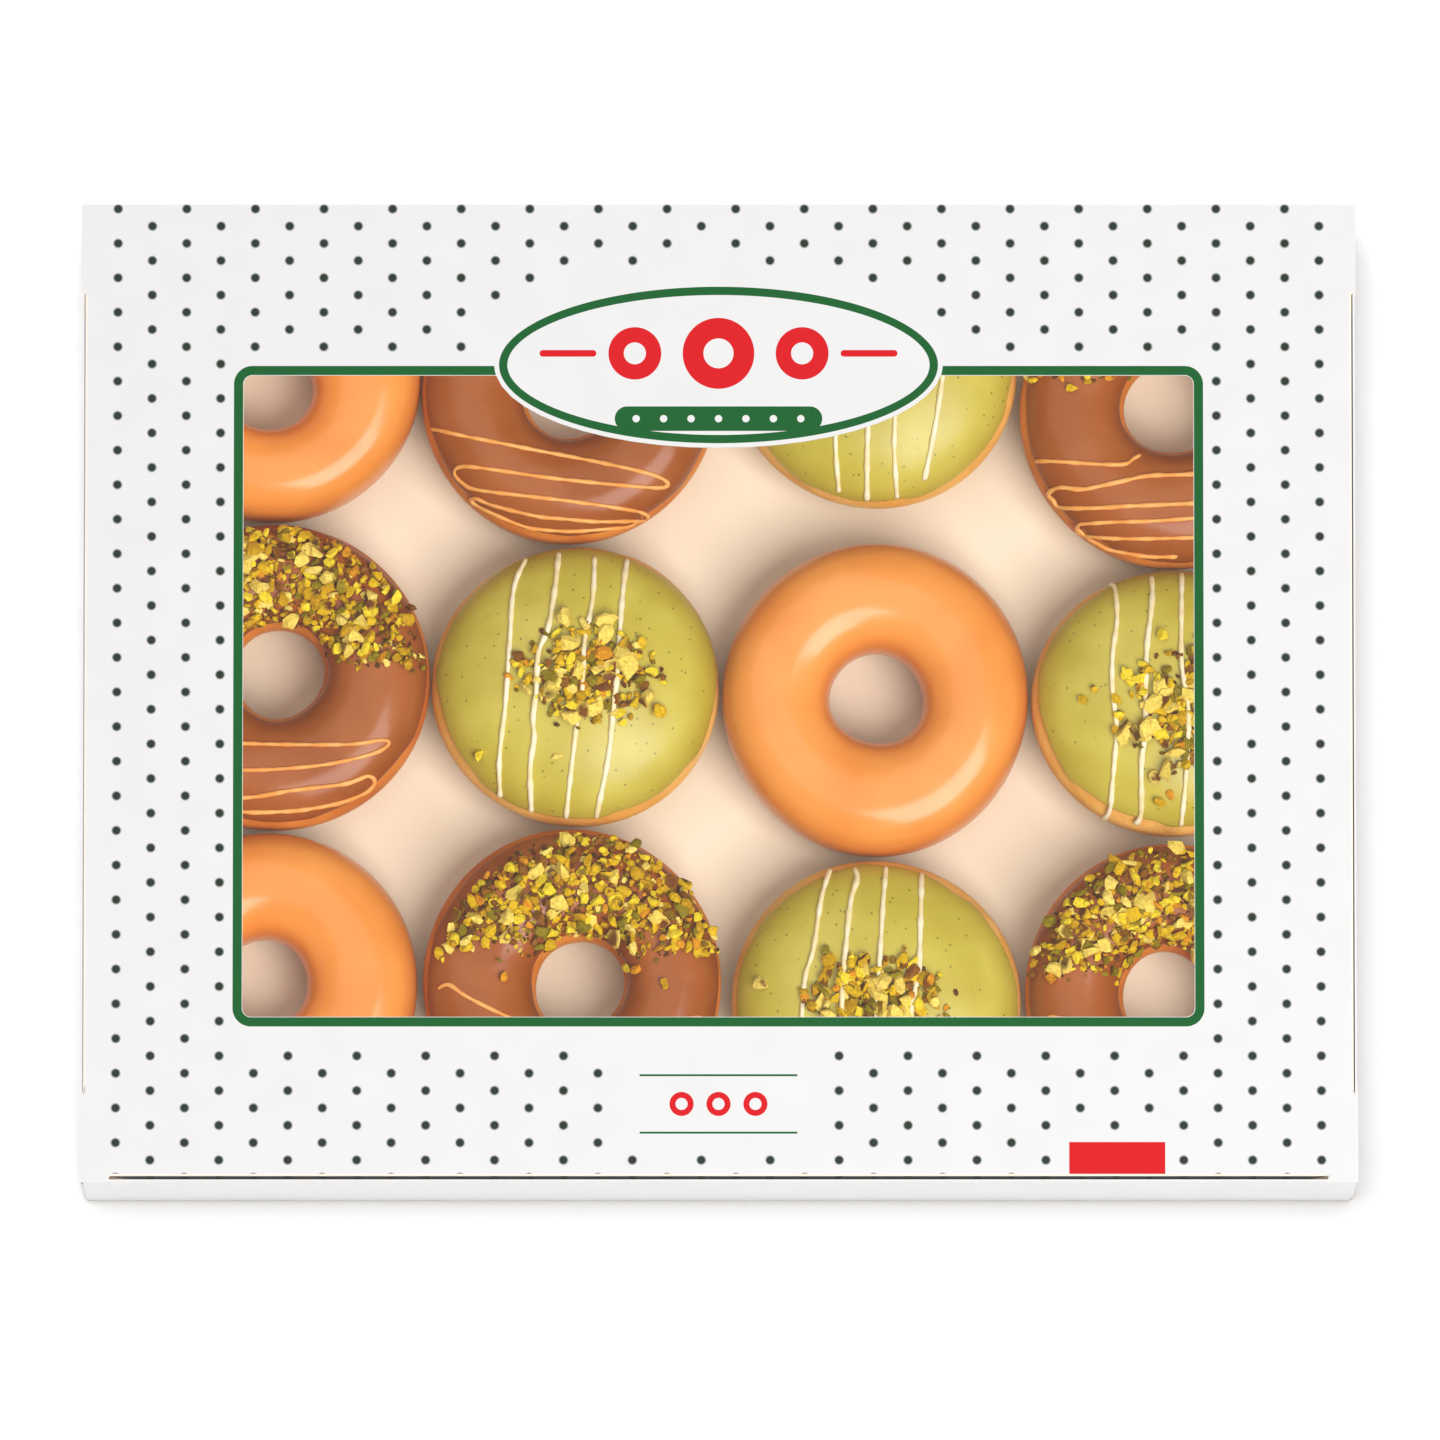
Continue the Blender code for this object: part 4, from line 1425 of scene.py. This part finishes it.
    def thread(self, route: np.ndarray, radius: float) -> Shell:
        """A thread laid along a route: a tube that is half sunk and pointed at both ends.

        The section's points are side cos(a) w + up (0.85 sin(a) w + 0.3 w). The half
        width w wavers by a fifth and goes to nothing over the last 1.3 mm. Over a heap of
        crumbs the thread is lifted by up to 2.4 mm.

        Args:
            route: places on the icing, in millimetres from the doughnut's centre.
            radius: half the thread's width.

        Returns:
            The thread's closed shell.
        """
        spacing, sides, point, heap_lift = 0.7, 10, 1.3, 2.4
        line = smooth_curve(route, spacing)
        here, up = self.seat(line[:, 0], line[:, 1])
        if self.recipe.heap:
            x, y, half_w, half_d = self.recipe.heap
            off = ((line[:, 0] - x) / half_w) ** 2 + ((line[:, 1] - y) / half_d) ** 2
            here = here + up * (heap_lift * np.exp(-2.0 * off))[:, None]
        along = np.gradient(here, axis=0)
        step = np.linalg.norm(along, axis=1)
        side = np.cross(up, along / step[:, None])
        side /= np.linalg.norm(side, axis=1, keepdims=True)
        length = np.cumsum(step)
        a, b = self.waves.uniform(0, FULL_TURN, 2)
        wide = radius * (1 + 0.13 * np.sin(length / 1.9 + a) + 0.09 * np.sin(length / 0.8 + b))
        wide = wide * np.sqrt(np.clip((length - length[0]) / point, 0, 1))
        wide = (wide * np.sqrt(np.clip((length[-1] - length) / point, 0, 1)))[:, None, None]
        angle = np.linspace(0, FULL_TURN, sides, endpoint=False)[None, :, None]
        points = here[:, None, :] + side[:, None, :] * np.cos(angle) * wide
        points = points + up[:, None, :] * (0.85 * np.sin(angle) + 0.3) * wide
        return Shell.from_grid(self.placed(points), False, True)

    def ring_crumbs(self, layer: CrumbLayer) -> np.ndarray:
        """One layer of crumbs on a ring: a jittered grid over what is above the recipe's line.

        Args:
            layer: the layer.

        Returns:
            x, y, size and height over the icing, a row for each crumb.
        """
        draw, lift = self.waves, layer.lift
        width, jitter, slope_reach, ragged_line, ragged_edge = 98, 0.55, 28, 1.6, 0.7
        from_hole, from_outline = 1.2, 1.4
        spread, least, most = 0.32, 1.0, 5.4
        count = int(width / layer.pitch)
        grid = (np.indices((count, count)).reshape(2, -1).T - count / 2) * layer.pitch
        grid = grid + draw.uniform(-jitter, jitter, grid.shape) * layer.pitch
        x, y = grid.T
        turn, reach = np.arctan2(y, x), np.hypot(x, y)
        left, right = self.recipe.nuts
        line = left + (right - left) * smooth_step(-slope_reach, slope_reach, x)
        line = line + draw.normal(0, ragged_line, x.size)
        keep = (y > line + lift) & (reach > self.inner(turn) + from_hole + lift)
        keep &= draw.random(x.size) < layer.share
        away, toward = self.recipe.bald
        bare = away * np.clip(np.cos(turn - math.radians(toward)), 0, 1) ** 2
        limit = self.outer(turn) - from_outline - lift - bare
        keep &= reach < limit + draw.normal(0, ragged_edge, x.size)
        size = np.clip(draw.lognormal(math.log(layer.size), spread, x.size), least, most)
        return np.stack([x, y, size, np.full(x.size, lift)], axis=1)[keep]

    def heap_crumbs(self) -> np.ndarray:
        """The round heap of crumbs on a bun, up to 1 mm higher in the middle.

        Returns:
            x, y, size and height over the icing, a row for each crumb.
        """
        draw, (x, y, half_w, half_d) = self.waves, self.recipe.heap
        count, scatter, limit = 330, 0.45, 1.1
        usual, spread, least, most = 2.4, 0.42, 0.9, 6.2
        place = draw.normal(0, scatter, (count, 2))
        away = np.hypot(*place.T)
        place, away = place[away < limit], away[away < limit]
        size = np.clip(draw.lognormal(math.log(usual), spread, away.size), least, most)
        thick = 1.3 * np.clip(0.8 - away, 0, 1)
        lift = draw.uniform(0.2, 1.0, away.size) + thick * draw.random(away.size)
        return np.stack([x + place[:, 0] * half_w, y + place[:, 1] * half_d, size, lift], axis=1)

    def crumb_places(self) -> np.ndarray | None:
        """Where all the nut crumbs lie: in layers on a ring, in a heap on a bun, and strays.

        Returns:
            x, y, size and height over the icing, a row for each crumb, or None where
            there are none.
        """
        found = []
        if self.recipe.nuts:
            found += [self.ring_crumbs(layer) for layer in CRUMB_LAYERS]
        if self.recipe.heap:
            found.append(self.heap_crumbs())
        if self.recipe.strays:
            place = np.array(self.recipe.strays)
            found.append(np.column_stack([place, np.full(len(place), STRAY_LIFT)]))
        return np.concatenate(found) if found else None

    def chips(self, places: np.ndarray) -> tuple[np.ndarray, np.ndarray]:
        """Small balls cut flat by planes, squashed, turned and laid on the icing.

        A point p of a ball that is outside plane n at distance d moves to p - (p.n - d) n,
        plane by plane, so the ball becomes a chip with flat faces. The first plane's side
        is the nut's skin. Each chip is squashed by a quarter along the icing's outward
        direction, and its lowest point lies 0.45 mm under its height.

        Args:
            places: x, y, size and height over the icing, a row for each crumb.

        Returns:
            Each chip's points, and how much of the skin each point shows.
        """
        draw, count = self.waves, len(places)
        nearest, farthest, skin_edge, half_size, squash = 0.3, 0.62, 5, 0.72, 0.25
        here, up = self.seat(places[:, 0], places[:, 1])
        turn = np.linspace(0, FULL_TURN, CHIP_TURNS, endpoint=False)[:, None]
        tilt = np.linspace(-math.pi / 2, math.pi / 2, CHIP_TILTS)[None, :]
        # At the poles the cosine is made exactly 0, so that their points are one.
        flat = np.where(np.abs(tilt) > 1.57, 0.0, np.cos(tilt))
        ball = (flat * np.cos(turn), flat * np.sin(turn), np.sin(tilt))
        ball = np.stack(np.broadcast_arrays(*ball), axis=-1).reshape(1, -1, 3)
        ball = np.broadcast_to(ball, (count, *ball.shape[1:])).copy()
        skin = np.zeros(ball.shape[:2])
        for plane in range(CHIP_PLANES):
            facing = draw.normal(size=(count, 1, 3))
            facing /= np.linalg.norm(facing, axis=2, keepdims=True)
            distance = draw.uniform(nearest, farthest, (count, 1))
            past = np.clip((ball * facing).sum(axis=2) - distance, 0, None)
            ball -= past[..., None] * facing
            if plane == 0:
                skin = np.clip(past * skin_edge, 0, 1)
        axes = np.linalg.qr(draw.normal(size=(count, 3, 3)))[0]
        stretch = draw.uniform((0.95, 0.75, 0.6), (1.25, 1.0, 0.85), (count, 3))[:, None, :]
        ball = np.einsum("nvk,nkj->nvj", ball * stretch, axes)
        ball *= (places[:, 2] * half_size)[:, None, None]
        upward = (ball * up[:, None, :]).sum(axis=2, keepdims=True)
        ball -= upward * up[:, None, :] * squash
        low = (ball * up[:, None, :]).sum(axis=2).min(axis=1)
        rise = (places[:, 3] - SUNK - low)[:, None, None]
        return here[:, None, :] + ball + up[:, None, :] * rise, skin

    def crumb_tones(self, places: np.ndarray, skin: np.ndarray, nut: ChoppedNut) -> np.ndarray:
        """Each crumb's colour, with brown skin on half of the cut balls' first sides.

        Big pieces show the nut's pale inside. Dust is mostly brown skin, which also serves as
        painted shade in the gaps between the bright pieces.

        Args:
            places: x, y, size and height over the icing, a row for each crumb.
            skin: how much of the skin each point shows.
            nut: the finish, which holds the colours.

        Returns:
            A linear colour for each point.
        """
        draw, count, size = self.waves, len(places), places[:, 2]
        # Small dust is mostly brown: partly the nut's skin, partly painted shade in the gaps
        # between the crumbs.
        skin_and_shade_dust_share, skinned_chips = 0.6, 0.5
        tones = np.array([linear(code) for code in nut.tones])
        tone = tones[draw.choice(len(tones), count, p=nut.shares)][:, None, :]
        skins = np.array([linear(code) for code in nut.skins])
        skins = skins[draw.integers(0, len(skins), count)][:, None, :]
        tone = np.where(size[:, None, None] > BIG_CRUMB, np.array(linear(nut.pale)), tone)
        skin_and_shade_dust = (size < DUST_CRUMB) & (draw.random(count) < skin_and_shade_dust_share)
        skinned = draw.random((count, 1)) < skinned_chips
        share = np.maximum(skin * skinned, skin_and_shade_dust[:, None])[..., None]
        return tone * (1 - share) + skins * share

    def crumbs_shell(self, nut: ChoppedNut) -> Shell | None:
        """The nut crumbs.

        Args:
            nut: their finish.

        Returns:
            The joined crumbs with a tone for each point, or None where there are none.
        """
        places = self.crumb_places()
        if places is None:
            return None
        points, skin = self.chips(places)
        tones = self.crumb_tones(places, skin, nut)
        quads = grid_faces(CHIP_TURNS, CHIP_TILTS, True, False)
        starts = np.arange(len(places))[:, None, None] * (CHIP_TURNS * CHIP_TILTS)
        quads = (quads[None] + starts).reshape(-1, 4)
        return Shell(self.placed(points.reshape(-1, 3)), quads, tones.reshape(-1, 4))

    def build(self) -> None:
        """Makes this doughnut's pieces, each riding on the tray's body."""
        topping, label = self.recipe.topping, self.label
        dough, icing = f"dough_{label}", f"icing_{label}"
        if topping is Topping.GLAZE:
            piece = self.dough_shell().to_object(f"glazed_ring_{label}", SugarGlaze().material())
            settle(piece, dough)
            return
        finish = DOUGHS[topping].material()
        settle(self.dough_shell().to_object(f"fried_dough_{label}", finish), dough)
        poured, piped = ICINGS[topping]
        piece = self.icing_shell().to_object(f"poured_icing_{label}", poured.material())
        settle(piece, icing)
        threads = self.threads_shell()
        if threads:
            piece = threads.to_object(f"piped_threads_{label}", piped.material())
            settle(piece, icing)
        nut = ChoppedNut()
        crumbs = self.crumbs_shell(nut)
        if crumbs:
            piece = crumbs.to_object(f"nut_crumbs_{label}", nut.material(), smooth=False)
            settle(piece, icing)


DOUGHS: dict[Topping, Finish] = {
    Topping.CHOCOLATE: FriedDough(),
    Topping.PISTACHIO: FriedDough("fried filled dough", "#f6be66", "#eba848", "#fadb98"),
}
ICINGS: dict[Topping, tuple[Finish, Finish]] = {
    Topping.CHOCOLATE: (
        PouredIcing("milk chocolate icing"),
        PipedSugar("piped caramel sugar"),
    ),
    Topping.PISTACHIO: (
        PouredIcing(
            "pistachio icing", "#c2b03a", "#cebe4c", "#b09628", "#5d5a1e",
            roughness=0.4, coat=0.55, coat_roughness=0.3,
        ),
        PipedSugar("piped white sugar", "#fcf0cc", "#f5e0a8"),
    ),
}


def smooth_curve(route: np.ndarray, spacing: float) -> np.ndarray:
    """A Catmull-Rom curve through the route's points.

    Between points b and c, with a before and d after, the place at t is half of
    2b + (c - a) t + (2a - 5b + 4c - d) t^2 + (3b - a - 3c + d) t^3.

    Args:
        route: the points, a row each.
        spacing: the wanted distance between places on the curve.

    Returns:
        Places on the curve, a row each.
    """
    ends = np.vstack([2 * route[0] - route[1], route, 2 * route[-1] - route[-2]])
    hops = np.hypot(*np.diff(route, axis=0).T)
    reach = np.concatenate([[0], np.cumsum(hops)])
    where = np.linspace(0, reach[-1], max(8, int(reach[-1] / spacing)))
    k = np.clip(np.searchsorted(reach, where, side="right") - 1, 0, len(hops) - 1)
    t = ((where - reach[k]) / hops[k])[:, None]
    a, b, c, d = (ends[k + j] for j in range(4))
    squared = 2 * a - 5 * b + 4 * c - d
    cubed = 3 * b - a - 3 * c + d
    return 0.5 * (2 * b + (c - a) * t + squared * t**2 + cubed * t**3)


def settle(piece: bpy.types.Object, node: str) -> None:
    """Hides the frame's node that a piece on the tray stands for, and lets the piece ride on the
    tray's body.

    Args:
        piece: the piece.
        node: the frame's node that it replaces.
    """
    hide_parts(node)
    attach(piece, "base")
    LOG.info("%s: %d faces", piece.name, len(piece.data.polygons))


# Carton.


@dataclass
class Carton:
    """The board tray and lid and the lid's clear film."""

    nodes: dict[str, bpy.types.Object]
    tray: CoatedBoard = CoatedBoard(Sheet.TRAY.value, Sheet.TRAY)
    lid: CoatedBoard = CoatedBoard(Sheet.LID.value, Sheet.LID)
    film: ClearFilm = ClearFilm()

    def build(self) -> None:
        """Dresses the frame's own board and film."""
        for name, finish in (("tray", self.tray), ("lid", self.lid), ("window_film", self.film)):
            for place in self.nodes[name].material_slots:
                place.material = finish.material()
            LOG.info("%s: %s", name, finish.name)


# Studio.


@dataclass(frozen=True)
class Softbox:
    """A square lamp aimed at the carton's middle.

    way is the direction in which it stands, and distance and size are in metres and
    power in watts. lit and blocked are the groups that say what it lights and what
    throws a shadow from it.
    """

    name: str
    way: tuple[float, float, float]
    distance: float
    size: float
    power: float
    lit: str
    blocked: str

    def build(self, groups: Mapping[str, bpy.types.Collection]) -> None:
        """Adds the lamp.

        Args:
            groups: the groups by name.
        """
        data = bpy.data.lights.new(self.name, "AREA")
        data.shape = "SQUARE"
        data.size = self.size
        data.energy = self.power
        lamp = bpy.data.objects.new(self.name, data)
        direction = Vector(self.way).normalized()
        lamp.location = direction * self.distance
        lamp.rotation_euler = direction.to_track_quat("Z", "Y").to_euler()
        bpy.context.scene.collection.objects.link(lamp)
        lamp.light_linking.receiver_collection = groups[self.lit]
        lamp.light_linking.blocker_collection = groups[self.blocked]


@dataclass
class Studio:
    """The floor, the lamps and the camera, in metres."""

    softboxes: tuple[Softbox, ...] = (
        Softbox(
            "key_softbox", (0.36, -0.40, 0.87), 4.0, 2.6, 163.0, "no_floor", "no_lid_or_film"
        ),
        Softbox(
            "fill_softbox", (-0.25, 0.22, 1.0), 4.0, 3.4, 41.0, "no_floor", "no_lid_or_film"
        ),
        Softbox("floor_softbox", (-0.06, 0.04, 1.0), 3.0, 2.2, 124.0, "floor_alone", "no_film"),
    )
    sky: tuple[float, float, float, float] = (1.0, 0.93, 0.85, 1)
    sky_strength: float = 0.19
    floor_reach: float = 3.0
    floor_height: float = -0.0002
    aim: tuple[float, float, float] = (0.00045, -0.00842, 0.057)
    lens: float = 600.0
    sensor: float = 36.0
    view_width: float = 0.429624
    elevation: float = 83.0

    def build(self, lid: bpy.types.Object, film: bpy.types.Object) -> None:
        """Sets up everything round the object.

        Args:
            lid: the carton's lid.
            film: the film in its window.
        """
        groups = self.groups(lid, film, self.floor())
        for softbox in self.softboxes:
            softbox.build(groups)
        self.camera()
        scene = bpy.context.scene
        world = bpy.data.worlds.new("studio")
        scene.world = world
        world.use_nodes = True
        background = world.node_tree.nodes["Background"]
        feed(world.node_tree, background, {"Color": self.sky, "Strength": self.sky_strength})
        # Light fades among the doughnuts after two bounces, so more would only cost time.
        scene.cycles.max_bounces = 4
        scene.cycles.diffuse_bounces = 2
        scene.cycles.transparent_max_bounces = 4
        scene.view_settings.view_transform = "Standard"
        scene.view_settings.look = "None"
        scene.view_settings.exposure = 0.0

    def floor(self) -> bpy.types.Object:
        """A wide pale floor, a hair under the carton.

        Returns:
            The floor.
        """
        mesh = bpy.data.meshes.new("studio_floor")
        far, z = self.floor_reach, self.floor_height
        points = [(-far, -far, z), (far, -far, z), (far, far, z), (-far, far, z)]
        mesh.from_pydata(points, [], [(0, 1, 2, 3)])
        mesh.materials.append(StudioFloor().material())
        floor = bpy.data.objects.new("studio_floor", mesh)
        bpy.context.scene.collection.objects.link(floor)
        floor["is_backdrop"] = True
        return floor

    def groups(
        self, lid: bpy.types.Object, film: bpy.types.Object, floor: bpy.types.Object
    ) -> dict[str, bpy.types.Collection]:
        """The groups for linking the lamps.

        The lid and its film throw no shadow from the key and the fill, which light
        everything but the floor: the window's inside is evenly lit in the picture, and
        the floor is white with hardly a shadow, so it has a lamp of its own.

        Args:
            lid: the carton's lid.
            film: the film in its window.
            floor: the studio's floor.

        Returns:
            The groups by name.
        """
        groups = {}
        for name, pieces, state in (
            ("no_lid_or_film", (lid, film), "EXCLUDE"),
            ("no_film", (film,), "EXCLUDE"),
            ("no_floor", (floor,), "EXCLUDE"),
            ("floor_alone", (floor,), "INCLUDE"),
        ):
            groups[name] = bpy.data.collections.new(name)
            for piece in pieces:
                groups[name].objects.link(piece)
            for item in groups[name].collection_objects:
                item.light_linking.link_state = state
        return groups

    def camera(self) -> None:
        """A long lens over the front, as steep as the picture's."""
        data = bpy.data.cameras.new("camera")
        data.lens = self.lens
        data.sensor_width = self.sensor
        data.clip_end = 40.0
        camera = bpy.data.objects.new("camera", data)
        rise = math.radians(self.elevation)
        away = Vector((0, -math.cos(rise), math.sin(rise)))
        camera.location = Vector(self.aim) + away * (self.view_width * self.lens / self.sensor)
        camera.rotation_euler = (math.pi / 2 - rise, 0, 0)
        bpy.context.scene.collection.objects.link(camera)
        bpy.context.scene.camera = camera


def corners() -> list[list[float]]:
    """The whole object's lowest and highest corners as plain lists."""
    return [[float(v) for v in corner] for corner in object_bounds()]


def main() -> None:
    """Builds the carton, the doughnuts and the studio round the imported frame."""
    logging.basicConfig(level=logging.INFO, format="%(name)s: %(message)s")
    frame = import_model()
    nodes = frame["nodes"]
    Carton(nodes).build()
    for label, recipe in RECIPES.items():
        Doughnut(label, recipe).build()
    Studio().build(nodes["lid"], nodes["window_film"])
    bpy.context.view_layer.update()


if __name__ == "__main__":
    main()
